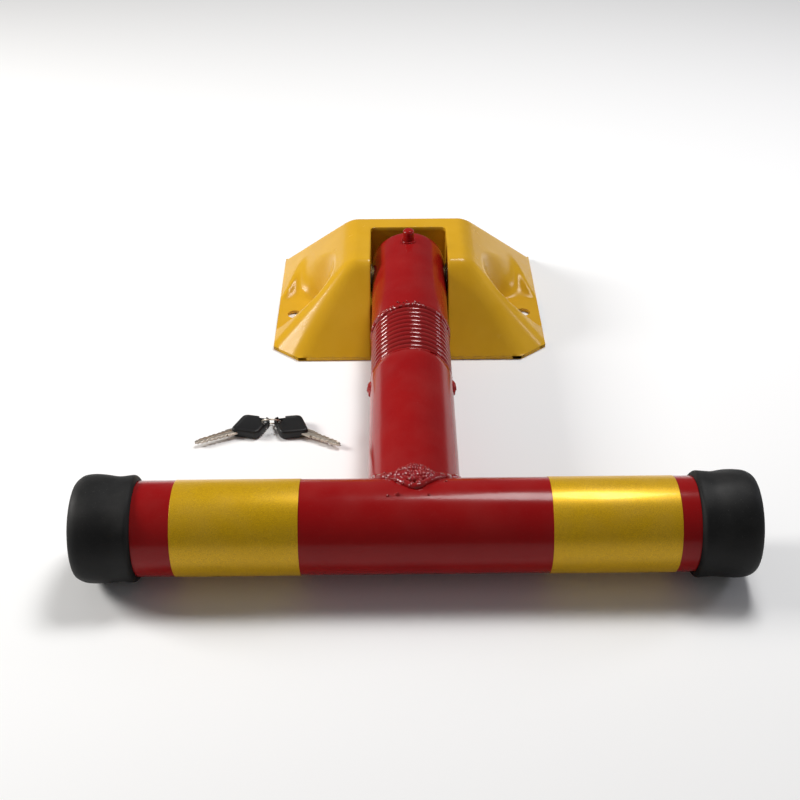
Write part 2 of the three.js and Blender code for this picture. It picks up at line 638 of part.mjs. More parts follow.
// ---------------------------------------------------------------- keys
// Each key lies flat. Its own frame has the ring hole at the origin and the blade towards +X.
// The ring leans, and its wire passes each head's hole at half the head's height.
const ringZ = KEY_RING_R * Math.sin(KEY_RING_TILT) + KEY_WIRE_R + WELD_GAP;
const ringFall = (ringZ - KEY_HEAD / 2) / Math.sin(KEY_RING_TILT);
const holeX = Math.sqrt(KEY_RING_R ** 2 - ringFall ** 2);
const holeY = ringFall * Math.cos(KEY_RING_TILT);

// The rhombus of a head, with rounded corners.
function headOutline(grow) {
  const long = KEY_HEAD_LONG / 2 + grow;
  const wide = KEY_HEAD_WIDE / 2 + grow;
  const mid = KEY_HEAD_LONG / 2 - KEY_HOLE_INSET;
  const corners = [[mid - long, 0], [mid, -wide], [mid + long, 0], [mid, wide]];
  const shape = [];
  corners.forEach(([x, y], i) => {
    const before = new THREE.Vector2(...corners[(i + 3) % 4]);
    const after = new THREE.Vector2(...corners[(i + 1) % 4]);
    const at = new THREE.Vector2(x, y);
    const from = at.clone().add(before.sub(at).setLength(KEY_HEAD_CORNER));
    const to = at.clone().add(after.sub(at).setLength(KEY_HEAD_CORNER));
    const curve = new THREE.QuadraticBezierCurve(from, at, to);
    shape.push(...curve.getPoints(5).map((p) => [p.x, p.y]));
  });
  return shape;
}

const bladeZ = KEY_HEAD / 2;
const bladeIn = KEY_HEAD_LONG - KEY_HOLE_INSET - BLADE_ROOT;

function bladeOutline() {
  const tip = bladeIn + BLADE_ROOT + BLADE_LENGTH;
  const half = BLADE_WIDTH / 2;
  const points = [[bladeIn, -half]];
  const first = bladeIn + BLADE_ROOT + BLADE_SHOULDER;
  const pitch = (tip - BLADE_POINT - first) / BLADE_NOTCHES;
  for (let i = 0; i < BLADE_NOTCHES; i++) {
    const depth = half - NOTCH_STEP * (1.4 + 1.8 * (i % 2) + 0.25 * i);
    points.push([first + i * pitch, -depth], [first + (i + 0.5) * pitch, -depth + NOTCH_STEP]);
  }
  points.push([tip - BLADE_POINT / 2, -half * 0.4], [tip, 0]);
  const upper = points.slice(0, -1).map(([x, y]) => [x, -y]);
  return points.concat(upper.reverse());
}

function keyHead() {
  const recessR = KEY_HOLE_R + KEY_RECESS;
  const waistLow = (KEY_HEAD - KEY_WAIST) / 2;
  const waistHigh = (KEY_HEAD + KEY_WAIST) / 2;
  const rootY = BLADE_WIDTH / 2 + WELD_GAP;
  const rootZ = BLADE / 2 + WELD_GAP;
  const far = KEY_HEAD_LONG * 2;
  return slab(headOutline(0), 0, KEY_HEAD, [
    rod("z", KEY_HOLE_R, -THROUGH, KEY_HEAD + THROUGH, [0, 0, 0], 24),
    rod("z", recessR, waistHigh, KEY_HEAD + THROUGH, [0, 0, 0], 24),
    rod("z", recessR, -THROUGH, waistLow, [0, 0, 0], 24),
    box(-far, 0, -recessR, recessR, waistHigh, KEY_HEAD + THROUGH),
    box(-far, 0, -recessR, recessR, -THROUGH, waistLow),
    box(bladeIn - WELD_GAP, far, -rootY, rootY, bladeZ - rootZ, bladeZ + rootZ),
  ]);
}

const keys = new THREE.Group();
keys.position.set(...KEY_RING_AT, 0);
part.add(keys);

const ringGeometry = new THREE.TorusGeometry(KEY_RING_R, KEY_WIRE_R, 8, 32);
ringGeometry.rotateX(-KEY_RING_TILT).translate(0, 0, ringZ);
add(keys, "key_ring", solid(ringGeometry), NICKEL);

["a", "b"].forEach((letter, i) => {
  const key = new THREE.Group();
  key.position.set(i ? holeX : -holeX, holeY, 0);
  key.rotation.z = THREE.MathUtils.degToRad(KEY_TURNS[i]);
  keys.add(key);
  add(key, "key_head_" + letter, keyHead(), PLASTIC);
  add(key, "key_blade_" + letter, slab(bladeOutline(), bladeZ - BLADE / 2, bladeZ + BLADE / 2), NICKEL);
});

export default part;
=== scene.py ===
import json
import math

import bmesh
import bpy
from mathutils import Matrix, Vector, noise


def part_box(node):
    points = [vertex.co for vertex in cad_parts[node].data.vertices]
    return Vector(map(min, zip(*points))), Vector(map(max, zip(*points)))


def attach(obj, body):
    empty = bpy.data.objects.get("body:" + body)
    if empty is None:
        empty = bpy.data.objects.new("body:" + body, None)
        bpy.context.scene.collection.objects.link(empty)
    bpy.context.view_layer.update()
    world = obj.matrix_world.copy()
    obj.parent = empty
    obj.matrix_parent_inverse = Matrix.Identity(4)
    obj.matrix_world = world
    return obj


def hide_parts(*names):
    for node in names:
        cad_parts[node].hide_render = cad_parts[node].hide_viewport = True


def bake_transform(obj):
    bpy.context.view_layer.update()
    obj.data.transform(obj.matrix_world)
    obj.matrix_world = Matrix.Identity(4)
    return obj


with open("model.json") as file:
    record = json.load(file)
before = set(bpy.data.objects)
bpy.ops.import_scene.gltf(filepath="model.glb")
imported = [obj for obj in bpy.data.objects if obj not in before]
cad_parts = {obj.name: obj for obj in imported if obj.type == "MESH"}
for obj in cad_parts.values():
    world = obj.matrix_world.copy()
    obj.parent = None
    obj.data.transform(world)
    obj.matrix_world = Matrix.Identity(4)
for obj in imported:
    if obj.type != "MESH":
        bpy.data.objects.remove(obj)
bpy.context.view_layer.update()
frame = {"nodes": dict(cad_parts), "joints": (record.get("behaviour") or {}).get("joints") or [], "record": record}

# Folding parking lock. Lengths are millimetres, and each mesh is scaled to metres as it is made.
MM = 0.001
TINY = 1e-6

# ---------------------------------------------------------------- driving sizes
TOP_FRONT_Y = -36.5  # front and back edges of the cover's flat top
TOP_BACK_Y = 39.5
TOP_STRIP = 16.6  # flat top beside the slot
COVER_RIM = 3.0
COVER_SHEET = 3.0
EDGE_HEIGHT = 0.97 * COVER_RIM  # where the sheet ends, just under the rim's height
CORNER_X = 21.0  # front corner facets
CORNER_Y = 17.5
CREASE = 6.5  # how softly two pressed faces meet
SLOT_ROUND = 3.5
SLOT_EDGE = 0.7  # rolled edge round the slot
ANCHOR_INSET = 14.0
ANCHOR_Y = -15.0
ANCHOR_HOLE_R = 6.0
POCKET_R = 27.0
POCKET_WALL = 6.0  # rise of the pocket's wall for each millimetre outwards
POCKET_BACK_WALL = 0.55  # the same on the side away from the crossbar, where the wall leans
POCKET_SQUARE = 2.6  # 2 is a round pocket, more is squarer

TUBE_R = 30.0
TUBE_IN = 27.5
TUBE_EDGE = 0.8
STUD_R = 4.5
STUD_HEIGHT = 10.0
STUD_Y = 9.0
SPRING_WIRE_R = 2.7
SPRING_TURNS = 10
SPRING_PITCH = 5.5
PLUG_WELD_BACK = 8.0
SEAM_WELD_R = 1.6
TEE_WELD_R = 2.7
TEE_WELD_ROWS = 5  # beads heaped over the top of the joint
TEE_WELD_HALF = 21.0
TEE_WELD_STEP = 3.2
TEE_WELD_SAG = 9.0
TAIL_SWEEP_R = 31.0
LOCK_HOLE_R = 10.3
BOLT_HOLE_R = 5.4
BOLT_Z = -13.2

KEY_HEAD_LONG = 33.0
KEY_HEAD_WIDE = 27.0
KEY_HEAD = 7.0
KEY_HEAD_CORNER = 4.5
KEY_HOLE_INSET = 6.2
KEY_HOLE_R = 3.6
KEY_RING_R = 7.0
KEY_RING_TILT = 50.0  # degrees
KEY_TURNS = {"a": 206.0, "b": -31.0}  # blade headings seen from above, degrees
BLADE_ROOT = 12.0
BLADE_LENGTH = 27.0
BLADE_WIDTH = 8.0


def node_box(node):
    low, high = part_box(node)
    return low / MM, high / MM


def node_middle(node):
    low, high = node_box(node)
    return (low + high) / 2


# ---------------------------------------------------------------- places
COVER_LOW, COVER_HIGH = node_box("base_cover")
HALF_WIDTH = COVER_HIGH.x
FRONT_Y = COVER_LOW.y
BACK_Y = COVER_HIGH.y
COVER_TOP = COVER_HIGH.z
CHANNEL_LOW, CHANNEL_HIGH = node_box("hinge_channel")
CHEEK_SHEET = 3.0
SLOT_HALF = CHANNEL_HIGH.x - CHEEK_SHEET + 0.15
SLOT_BACK_Y = CHANNEL_HIGH.y - CHEEK_SHEET - 0.15
TOP_HALF = SLOT_HALF + TOP_STRIP
ANCHOR_X = HALF_WIDTH - ANCHOR_INSET

PIVOT = Vector(frame["joints"][0]["pos_m"]) / MM
CROSSBAR = node_middle("crossbar_tube")
REACH = (PIVOT - CROSSBAR).length


def barrier_place():
    """The barrier's own frame: its origin on the pivot, +Y towards the tail, +Z its upper side."""
    along = (PIVOT - CROSSBAR).normalized()
    across = Vector((1, 0, 0))
    up = across.cross(along)
    turn = Matrix((across, along, up)).transposed()
    return Matrix.Translation(PIVOT) @ turn.to_4x4()


BARRIER = barrier_place()
TO_BARRIER = BARRIER.inverted()


def along_barrier(node):
    """Where a node starts and stops along the barrier, in the barrier's frame."""
    spots = [(TO_BARRIER @ (v.co / MM)).y for v in frame["nodes"][node].data.vertices]
    return min(spots), max(spots)


STUB_FRONT, STUB_TAIL = along_barrier("stub_tube")
POST_BACK = along_barrier("post_tube")[1]
SPRING_MIDDLE = (STUB_FRONT + POST_BACK) / 2
LOCK_Y = sum(along_barrier("lock_barrel")) / 2


# ---------------------------------------------------------------- shapes
def smooth_least(a, b, reach):
    """The lesser of two heights, with the corner between them rounded."""
    near = max(reach - abs(a - b), 0) / reach
    return min(a, b) - near * near * reach / 4


def smooth_most(a, b, reach):
    return -smooth_least(-a, -b, reach)


def softened(corners, steps=4, closed=True):
    """An outline with rounded corners; each corner is (radius, height, rounding)."""
    outline = []
    last = len(corners) - 1
    for i, (radius, height, rounding) in enumerate(corners):
        here = Vector((radius, height))
        if rounding == 0 or (not closed and i in (0, last)):
            outline.append(here)
            continue
        back = Vector(corners[i - 1][:2]) - here
        on = Vector(corners[(i + 1) % len(corners)][:2]) - here
        start = here + back.normalized() * min(rounding, back.length * 0.45)
        stop = here + on.normalized() * min(rounding, on.length * 0.45)
        for k in range(steps + 1):
            t = k / steps
            outline.append(start * (1 - t) ** 2 + here * (2 * t * (1 - t)) + stop * t * t)
    return outline


def stitched(rings, closed):
    """Faces between rings of vertex numbers; a ring of one number is a point."""
    faces = []
    pairs = list(zip(rings, rings[1:]))
    if closed:
        pairs.append((rings[-1], rings[0]))
    for low, high in pairs:
        count = max(len(low), len(high))
        for k in range(count):
            n = (k + 1) % count
            corners = [low[k % len(low)], low[n % len(low)], high[n % len(high)], high[k % len(high)]]
            face = list(dict.fromkeys(corners))
            if len(face) > 2:
                faces.append(face)
    return faces


def on_axis(axis, radius, angle, along):
    side, top = radius * math.sin(angle), radius * math.cos(angle)
    if axis == "x":
        return Vector((along, side, top))
    if axis == "y":
        return Vector((side, along, top))
    return Vector((side, top, along))


def turned(outline, axis, sides=96, closed=True):
    """A turned solid about an axis through the origin; outline points are (radius, along)."""
    points, rings = [], []
    for radius, along in outline:
        count = 1 if radius < TINY else sides
        rings.append(range(len(points), len(points) + count))
        points += [on_axis(axis, radius, 2 * math.pi * k / sides, along) for k in range(count)]
    return points, stitched(rings, closed)


def sleeve(start, stop, sides=128, rows=24):
    """A tube along Y whose two ends are given as heights at each angle."""
    edge = TUBE_EDGE
    outline = [(TUBE_IN, 0, 0), (TUBE_R - edge, 0, 0), (TUBE_R - edge * 0.3, 0, edge * 0.3)]
    outline += [(TUBE_R, k / rows, edge * (1 - 2 * k / rows)) for k in range(rows + 1)]
    outline += [(TUBE_R - edge * 0.3, 1, -edge * 0.3), (TUBE_R - edge, 1, 0), (TUBE_IN, 1, 0)]
    points, rings = [], []
    for radius, share, extra in outline:
        rings.append(range(len(points), len(points) + sides))
        for k in range(sides):
            angle = 2 * math.pi * k / sides
            low, high = start(angle), stop(angle)
            points.append(on_axis("y", radius, angle, low + (high - low) * share + extra))
    return points, stitched(rings, True)


def wire(path, radius_at, sides=14, loop=False):
    """A round wire along a list of points, with its radius given at each one."""
    points, rings = [], []
    count = len(path)
    side = None
    for i, here in enumerate(path):
        before = path[i - 1] if loop or i else path[0]
        after = path[(i + 1) % count] if loop or i < count - 1 else path[-1]
        ahead = (after - before).normalized()
        side = side or ahead.orthogonal()
        side = (side - ahead * side.dot(ahead)).normalized()
        up = ahead.cross(side)
        rings.append(range(len(points), len(points) + sides))
        for k in range(sides):
            angle = 2 * math.pi * k / sides
            points.append(here + (side * math.cos(angle) + up * math.sin(angle)) * radius_at(i))
    faces = stitched(rings, loop)
    if not loop:
        faces += [list(rings[0]), list(rings[-1])]
    return points, faces


def joined(*shapes):
    points, faces = [], []
    for shape_points, shape_faces in shapes:
        first = len(points)
        points += shape_points
        faces += [[first + n for n in face] for face in shape_faces]
    return points, faces


def moved(shape, x=0.0, y=0.0, z=0.0):
    return [p + Vector((x, y, z)) for p in shape[0]], shape[1]


def bar(half, low, high):
    """A six-sided cutter centred on Z, from one height to another."""
    corners = [(-1, -1), (1, -1), (1, 1), (-1, 1)]
    points = [Vector((x * half[0], y * half[1], z)) for z in (low, high) for x, y in corners]
    return points, stitched([range(4), range(4, 8)], False) + [[0, 1, 2, 3], [4, 5, 6, 7]]


def wander(point, scale, seed):
    """Smooth noise between about -1 and 1; scale is the size of its lumps."""
    return noise.noise(point / scale + Vector((seed * 17.3, seed * 5.1, seed * 9.7)))


def droplet(centre, size, seed, sides=12, rows=7):
    """A frozen drop of weld metal: an uneven ball."""
    points, rings = [], []
    for j in range(rows + 1):
        tilt = math.pi * j / rows
        count = 1 if j in (0, rows) else sides
        rings.append(range(len(points), len(points) + count))
        for k in range(count):
            ray = on_axis("z", math.sin(tilt), 2 * math.pi * k / sides, math.cos(tilt))
            points.append(centre + ray * size * (1 + 0.35 * wander(ray, 0.9, seed)))
    return points, stitched(rings, False)


def weld_bead(path, radius, seed, loop=False, ripple=2.2):
    """A hand-laid bead: overlapping ripples, uneven width, thin ends if it is not a loop."""
    count = len(path)
    step = (path[1] - path[0]).length
    uneven = []
    for i, p in enumerate(path):
        p = p + Vector([wander(p, 6, seed + k) for k in (1, 2, 3)]) * radius * 0.25
        uneven.append(p)

    def radius_at(i):
        end = 1 if loop else min(1, 0.25 + min(i, count - 1 - i) * step / (3 * radius))
        wave = 0.09 * math.sin(2 * math.pi * i * step / ripple)
        return radius * end * (1 + wave + 0.3 * wander(path[i], 5, seed))

    return wire(uneven, radius_at, 12, loop)


# ---------------------------------------------------------------- pieces
def made_mesh(name, shape, place, smooth_angle):
    points, faces = shape
    mesh = bpy.data.meshes.new(name)
    mesh.from_pydata([place @ p * MM for p in points], [], faces)
    shell = bmesh.new()
    shell.from_mesh(mesh)
    bmesh.ops.recalc_face_normals(shell, faces=shell.faces)
    shell.to_mesh(mesh)
    shell.free()
    mesh.shade_smooth()
    mesh.set_sharp_from_angle(angle=math.radians(smooth_angle))
    return mesh


def piece(name, shape, body, material, slot, nodes=(), place=None, smooth_angle=40, cutters=()):
    """Makes a piece in metres, cuts it, and ties it to its body and the nodes it stands for."""
    place = place or Matrix.Identity(4)
    obj = bpy.data.objects.new(name, made_mesh(name, shape, place, smooth_angle))
    bpy.context.scene.collection.objects.link(obj)
    for cutter in cutters:
        cut(obj, made_mesh(name + "_cut", cutter, place, smooth_angle))
    if cutters:
        obj.data.shade_smooth()
        obj.data.set_sharp_from_angle(angle=math.radians(smooth_angle))
    obj.data.materials.clear()
    obj.data.materials.append(material)
    if body:
        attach(obj, body)
    if nodes:
        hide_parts(*nodes)
    return obj


def cut(obj, cutter_mesh):
    """Takes a closed cutter out of a closed piece."""
    cutter = bpy.data.objects.new("cutter", cutter_mesh)
    bpy.context.scene.collection.objects.link(cutter)
    step = obj.modifiers.new("cut", "BOOLEAN")
    step.operation = "DIFFERENCE"
    step.solver = "EXACT"
    step.object = cutter
    view = bpy.context.evaluated_depsgraph_get()
    result = bpy.data.meshes.new_from_object(obj.evaluated_get(view))
    obj.modifiers.clear()
    obj.data = result
    bpy.data.objects.remove(cutter)


# ---------------------------------------------------------------- shader groups
def new_group(name, inputs, outputs):
    """A shader group with its sockets; inputs are (name, kind, default)."""
    group = bpy.data.node_groups.new(name, "ShaderNodeTree")
    for socket_name, kind, default in inputs:
        socket = group.interface.new_socket(name=socket_name, in_out="INPUT", socket_type=kind)
        socket.default_value = default
    for socket_name, kind in outputs:
        group.interface.new_socket(name=socket_name, in_out="OUTPUT", socket_type=kind)
    return group, group.nodes.new("NodeGroupInput"), group.nodes.new("NodeGroupOutput")


NUMBER = "NodeSocketFloat"
COLOUR = "NodeSocketColor"


def noise_node(tree, scale, detail, coordinates):
    node = tree.nodes.new("ShaderNodeTexNoise")
    node.inputs["Detail"].default_value = detail
    tree.links.new(coordinates, node.inputs["Vector"])
    if isinstance(scale, (int, float)):
        node.inputs["Scale"].default_value = scale
    else:
        tree.links.new(scale, node.inputs["Scale"])
    return node.outputs["Fac"]


def ranged(tree, value, from_low, from_high, to_low=0.0, to_high=1.0):
    node = tree.nodes.new("ShaderNodeMapRange")
    limits = {"From Min": from_low, "From Max": from_high, "To Min": to_low, "To Max": to_high}
    for name, number in limits.items():
        node.inputs[name].default_value = number
    tree.links.new(value, node.inputs["Value"])
    return node.outputs["Result"]


def worked(tree, operation, a, b):
    node = tree.nodes.new("ShaderNodeMath")
    node.operation = operation
    for socket, value in zip(node.inputs, (a, b)):
        if isinstance(value, (int, float)):
            socket.default_value = value
        else:
            tree.links.new(value, socket)
    return node.outputs[0]


def mixed(tree, share, a, b):
    node = tree.nodes.new("ShaderNodeMix")
    node.data_type = "RGBA"
    tree.links.new(share, node.inputs["Factor"])
    for socket, value in ((node.inputs["A"], a), (node.inputs["B"], b)):
        if isinstance(value, tuple):
            socket.default_value = value
        else:
            tree.links.new(value, socket)
    return node.outputs["Result"]


def paint_skin_group():
    """Sprayed paint: orange peel, and a slight drift of tone from thick to thin coats."""
    inputs = [("Colour", COLOUR, (1, 1, 1, 1)), ("Thin Colour", COLOUR, (1, 1, 1, 1)),
              ("Peel Scale", NUMBER, 300.0), ("Roughness", NUMBER, 0.2)]
    outputs = [("Colour", COLOUR), ("Roughness", NUMBER), ("Height", NUMBER)]
    group, start, end = new_group("paint_skin", inputs, outputs)
    where = group.nodes.new("ShaderNodeTexCoord").outputs["Object"]
    drift = ranged(group, noise_node(group, 28.0, 3, where), 0.35, 0.75)
    coat = mixed(group, drift, start.outputs["Colour"], start.outputs["Thin Colour"])
    group.links.new(coat, end.inputs["Colour"])
    smear = ranged(group, noise_node(group, 60.0, 5, where), 0.3, 0.8, -0.03, 0.05)
    group.links.new(worked(group, "ADD", start.outputs["Roughness"], smear), end.inputs["Roughness"])
    peel = noise_node(group, start.outputs["Peel Scale"], 2, where)
    group.links.new(peel, end.inputs["Height"])
    return group


def dust_group():
    """Fine dust that settles on what faces up, in drifts and single specks."""
    inputs = [("Colour", COLOUR, (1, 1, 1, 1)), ("Dust", COLOUR, (0.5, 0.45, 0.4, 1)),
              ("Amount", NUMBER, 0.3)]
    group, start, end = new_group("settled_dust", inputs, [("Colour", COLOUR), ("Mask", NUMBER)])
    where = group.nodes.new("ShaderNodeTexCoord").outputs["Object"]
    normal = group.nodes.new("ShaderNodeNewGeometry").outputs["Normal"]
    parts = group.nodes.new("ShaderNodeSeparateXYZ")
    group.links.new(normal, parts.inputs[0])
    facing = ranged(group, parts.outputs["Z"], -0.1, 0.9)
    drifts = ranged(group, noise_node(group, 45.0, 6, where), 0.42, 0.72)
    specks = ranged(group, noise_node(group, 1400.0, 1, where), 0.7, 0.76)
    both = worked(group, "MAXIMUM", worked(group, "MULTIPLY", drifts, 0.35), specks)
    mask = worked(group, "MULTIPLY", worked(group, "MULTIPLY", both, facing), start.outputs["Amount"])
    group.links.new(mask, end.inputs["Mask"])
    group.links.new(mixed(group, mask, start.outputs["Colour"], start.outputs["Dust"]), end.inputs["Colour"])
    return group


def worn_edge_group():
    """Bare or rubbed colour where the surface turns sharply outwards, broken up by noise."""
    inputs = [("Colour", COLOUR, (1, 1, 1, 1)), ("Worn", COLOUR, (0.6, 0.6, 0.6, 1)), ("Amount", NUMBER, 0.3)]
    group, start, end = new_group("worn_edge", inputs, [("Colour", COLOUR), ("Mask", NUMBER)])
    where = group.nodes.new("ShaderNodeTexCoord").outputs["Object"]
    corner = ranged(group, group.nodes.new("ShaderNodeNewGeometry").outputs["Pointiness"], 0.52, 0.6)
    patches = ranged(group, noise_node(group, 220.0, 4, where), 0.45, 0.65)
    mask = worked(group, "MULTIPLY", worked(group, "MULTIPLY", corner, patches), start.outputs["Amount"])
    group.links.new(mask, end.inputs["Mask"])
    group.links.new(mixed(group, mask, start.outputs["Colour"], start.outputs["Worn"]), end.inputs["Colour"])
    return group


def grain_group():
    """Moulded or cast grain: fine bumps over broad ones, and a matching change of roughness."""
    inputs = [("Scale", NUMBER, 900.0), ("Roughness", NUMBER, 0.6), ("Spread", NUMBER, 0.1)]
    outputs = [("Height", NUMBER), ("Roughness", NUMBER), ("Mask", NUMBER)]
    group, start, end = new_group("grain", inputs, outputs)
    where = group.nodes.new("ShaderNodeTexCoord").outputs["Object"]
    fine = noise_node(group, start.outputs["Scale"], 4, where)
    broad = noise_node(group, 40.0, 4, where)
    group.links.new(worked(group, "ADD", fine, worked(group, "MULTIPLY", broad, 1.5)), end.inputs["Height"])
    swing = worked(group, "MULTIPLY", worked(group, "SUBTRACT", broad, 0.5), start.outputs["Spread"])
    group.links.new(worked(group, "ADD", start.outputs["Roughness"], swing), end.inputs["Roughness"])
    group.links.new(broad, end.inputs["Mask"])
    return group


def scratches_group():
    """Fine straight scratches lying mostly one way, as a height and a change of roughness."""
    inputs = [("Roughness", NUMBER, 0.3), ("Depth", NUMBER, 0.15)]
    group, start, end = new_group("fine_scratches", inputs, [("Height", NUMBER), ("Roughness", NUMBER)])
    where = group.nodes.new("ShaderNodeTexCoord").outputs["Object"]
    stretch = group.nodes.new("ShaderNodeMapping")
    stretch.inputs["Rotation"].default_value = (0, 0, 0.5)
    stretch.inputs["Scale"].default_value = (60, 2600, 900)
    group.links.new(where, stretch.inputs["Vector"])
    lines = noise_node(group, 1.0, 3, stretch.outputs[0])
    group.links.new(lines, end.inputs["Height"])
    swing = worked(group, "MULTIPLY", lines, start.outputs["Depth"])
    group.links.new(worked(group, "ADD", start.outputs["Roughness"], swing), end.inputs["Roughness"])
    return group


PAINT_SKIN = paint_skin_group()
SETTLED_DUST = dust_group()
WORN_EDGE = worn_edge_group()
GRAIN = grain_group()
SCRATCHES = scratches_group()


# ---------------------------------------------------------------- materials
class Finish:
    """A material under construction: its tree, its shader and short ways to join nodes."""

    def __init__(self, name, **sockets):
        self.material = bpy.data.materials.new(name)
        self.material.use_nodes = True
        self.tree = self.material.node_tree
        self.shader = self.tree.nodes["Principled BSDF"]
        self.set(**sockets)

    def set(self, **sockets):
        for socket, value in sockets.items():
            self.shader.inputs[socket.replace("_", " ")].default_value = value

    def group(self, group, **values):
        node = self.tree.nodes.new("ShaderNodeGroup")
        node.node_tree = group
        for socket, value in values.items():
            target = node.inputs[socket.replace("_", " ")]
            if isinstance(value, bpy.types.NodeSocket):
                self.tree.links.new(value, target)
            else:
                target.default_value = value
        return node.outputs

    def feed(self, socket, value):
        self.tree.links.new(value, self.shader.inputs[socket])

    def bump(self, height, distance, strength=1.0):
        node = self.tree.nodes.new("ShaderNodeBump")
        node.inputs["Distance"].default_value = distance
        node.inputs["Strength"].default_value = strength
        self.tree.links.new(height, node.inputs["Height"])
        self.feed("Normal", node.outputs["Normal"])


def gloss_paint(name, colour, thin, worn, roughness, peel, coat=0.07):
    """Sprayed gloss enamel over steel."""
    finish = Finish(name, Specular_IOR_Level=0.14, IOR=1.5)
    finish.set(Coat_Weight=coat, Coat_Roughness=0.05, Coat_IOR=1.5)
    skin = finish.group(PAINT_SKIN, Colour=colour, Thin_Colour=thin, Peel_Scale=peel, Roughness=roughness)
    edges = finish.group(WORN_EDGE, Colour=skin["Colour"], Worn=worn, Amount=0.5)
    dust = finish.group(SETTLED_DUST, Colour=edges["Colour"], Dust=(0.75, 0.7, 0.62, 1), Amount=0.03)
    finish.feed("Base Color", dust["Colour"])
    finish.feed("Roughness", skin["Roughness"])
    finish.bump(skin["Height"], 0.00006, 0.35)
    return finish.material


def yellow_paint():
    return gloss_paint("yellow_paint", colour=(0.60, 0.325, 0.012, 1), thin=(0.65, 0.365, 0.02, 1),
                       worn=(0.5, 0.27, 0.03, 1), roughness=0.24, peel=170.0)


def red_paint():
    return gloss_paint("red_paint", colour=(0.27, 0.004, 0.005, 1), thin=(0.30, 0.006, 0.006, 1),
                       worn=(0.36, 0.02, 0.02, 1), roughness=0.2, peel=210.0)


def wet_red_paint():
    """The thick glossy coat that has run into the turns of the spring and over the rough welds."""
    return gloss_paint("wet_red_paint", colour=(0.27, 0.004, 0.005, 1), thin=(0.22, 0.004, 0.004, 1),
                       worn=(0.36, 0.02, 0.02, 1), roughness=0.16, peel=260.0, coat=0.7)


def gold_tape():
    """Reflective tape: glass beads under a clear film, slightly metallic and speckled."""
    finish = Finish("gold_tape", Metallic=0.3, Specular_IOR_Level=0.2, IOR=1.5)
    finish.set(Coat_Weight=0.12, Coat_Roughness=0.08)
    grain = finish.group(GRAIN, Scale=2600.0, Roughness=0.36, Spread=0.15)
    where = finish.tree.nodes.new("ShaderNodeTexCoord").outputs["Object"]
    beads = ranged(finish.tree, noise_node(finish.tree, 2200.0, 2, where), 0.35, 0.7)
    speckled = mixed(finish.tree, beads, (0.50, 0.27, 0.002, 1), (0.80, 0.49, 0.006, 1))
    clouds = ranged(finish.tree, grain["Mask"], 0.4, 0.7, 0.0, 0.35)
    clouded = mixed(finish.tree, clouds, speckled, (0.60, 0.34, 0.008, 1))
    dust = finish.group(SETTLED_DUST, Colour=clouded, Dust=(0.7, 0.62, 0.45, 1), Amount=0.12)
    finish.feed("Base Color", dust["Colour"])
    finish.feed("Roughness", grain["Roughness"])
    finish.bump(grain["Height"], 0.00002, 0.3)
    return finish.material


def black_rubber():
    finish = Finish("black_rubber", Specular_IOR_Level=0.22, IOR=1.48)
    grain = finish.group(GRAIN, Scale=700.0, Roughness=0.6, Spread=0.35)
    patches = ranged(finish.tree, grain["Mask"], 0.35, 0.7)
    mottled = mixed(finish.tree, patches, (0.0045, 0.0047, 0.0047, 1), (0.010, 0.010, 0.010, 1))
    worn = finish.group(WORN_EDGE, Colour=mottled, Worn=(0.04, 0.04, 0.038, 1), Amount=0.5)
    dust = finish.group(SETTLED_DUST, Colour=worn["Colour"], Dust=(0.16, 0.15, 0.14, 1), Amount=0.22)
    finish.feed("Base Color", dust["Colour"])
    finish.feed("Roughness", grain["Roughness"])
    finish.bump(grain["Height"], 0.00012, 0.5)
    return finish.material


def black_plastic():
    finish = Finish("black_plastic", Specular_IOR_Level=0.3, IOR=1.5)
    grain = finish.group(GRAIN, Scale=2400.0, Roughness=0.42, Spread=0.2)
    worn = finish.group(WORN_EDGE, Colour=(0.008, 0.008, 0.0085, 1), Worn=(0.035, 0.035, 0.035, 1),
                        Amount=0.6)
    finish.feed("Base Color", worn["Colour"])
    finish.feed("Roughness", grain["Roughness"])
    finish.bump(grain["Height"], 0.00003, 0.5)
    return finish.material


def scratched_metal(name, colour, worn, roughness, depth):
    finish = Finish(name, Metallic=1.0)
    marks = finish.group(SCRATCHES, Roughness=roughness, Depth=depth)
    edges = finish.group(WORN_EDGE, Colour=colour, Worn=worn, Amount=0.6)
    finish.feed("Base Color", edges["Colour"])
    finish.feed("Roughness", marks["Roughness"])
    finish.bump(marks["Height"], 0.00002, 0.5)
    return finish.material


def grained_metal(name, colour, dark, roughness):
    finish = Finish(name, Metallic=0.9)
    grain = finish.group(GRAIN, Scale=1500.0, Roughness=roughness, Spread=0.3)
    finish.feed("Base Color", mixed(finish.tree, ranged(finish.tree, grain["Mask"], 0.35, 0.7), colour, dark))
    finish.feed("Roughness", grain["Roughness"])
    finish.bump(grain["Height"], 0.00002, 0.5)
    return finish.material


MATERIALS = {
    "yellow_paint": yellow_paint(),
    "red_paint": red_paint(),
    "wet_red_paint": wet_red_paint(),
    "gold_tape": gold_tape(),
    "black_rubber": black_rubber(),
    "black_plastic": black_plastic(),
    "zinc_steel": grained_metal("zinc_steel", (0.55, 0.56, 0.58, 1), (0.38, 0.39, 0.42, 1), 0.35),
    "bare_steel": grained_metal("bare_steel", (0.36, 0.36, 0.37, 1), (0.2, 0.19, 0.19, 1), 0.45),
    "bush_brass": scratched_metal("bush_brass", (0.12, 0.08, 0.035, 1), (0.3, 0.21, 0.09, 1), 0.5, 0.2),
    "nickel": scratched_metal("nickel", (0.52, 0.46, 0.39, 1), (0.7, 0.66, 0.6, 1), 0.3, 0.25),
}


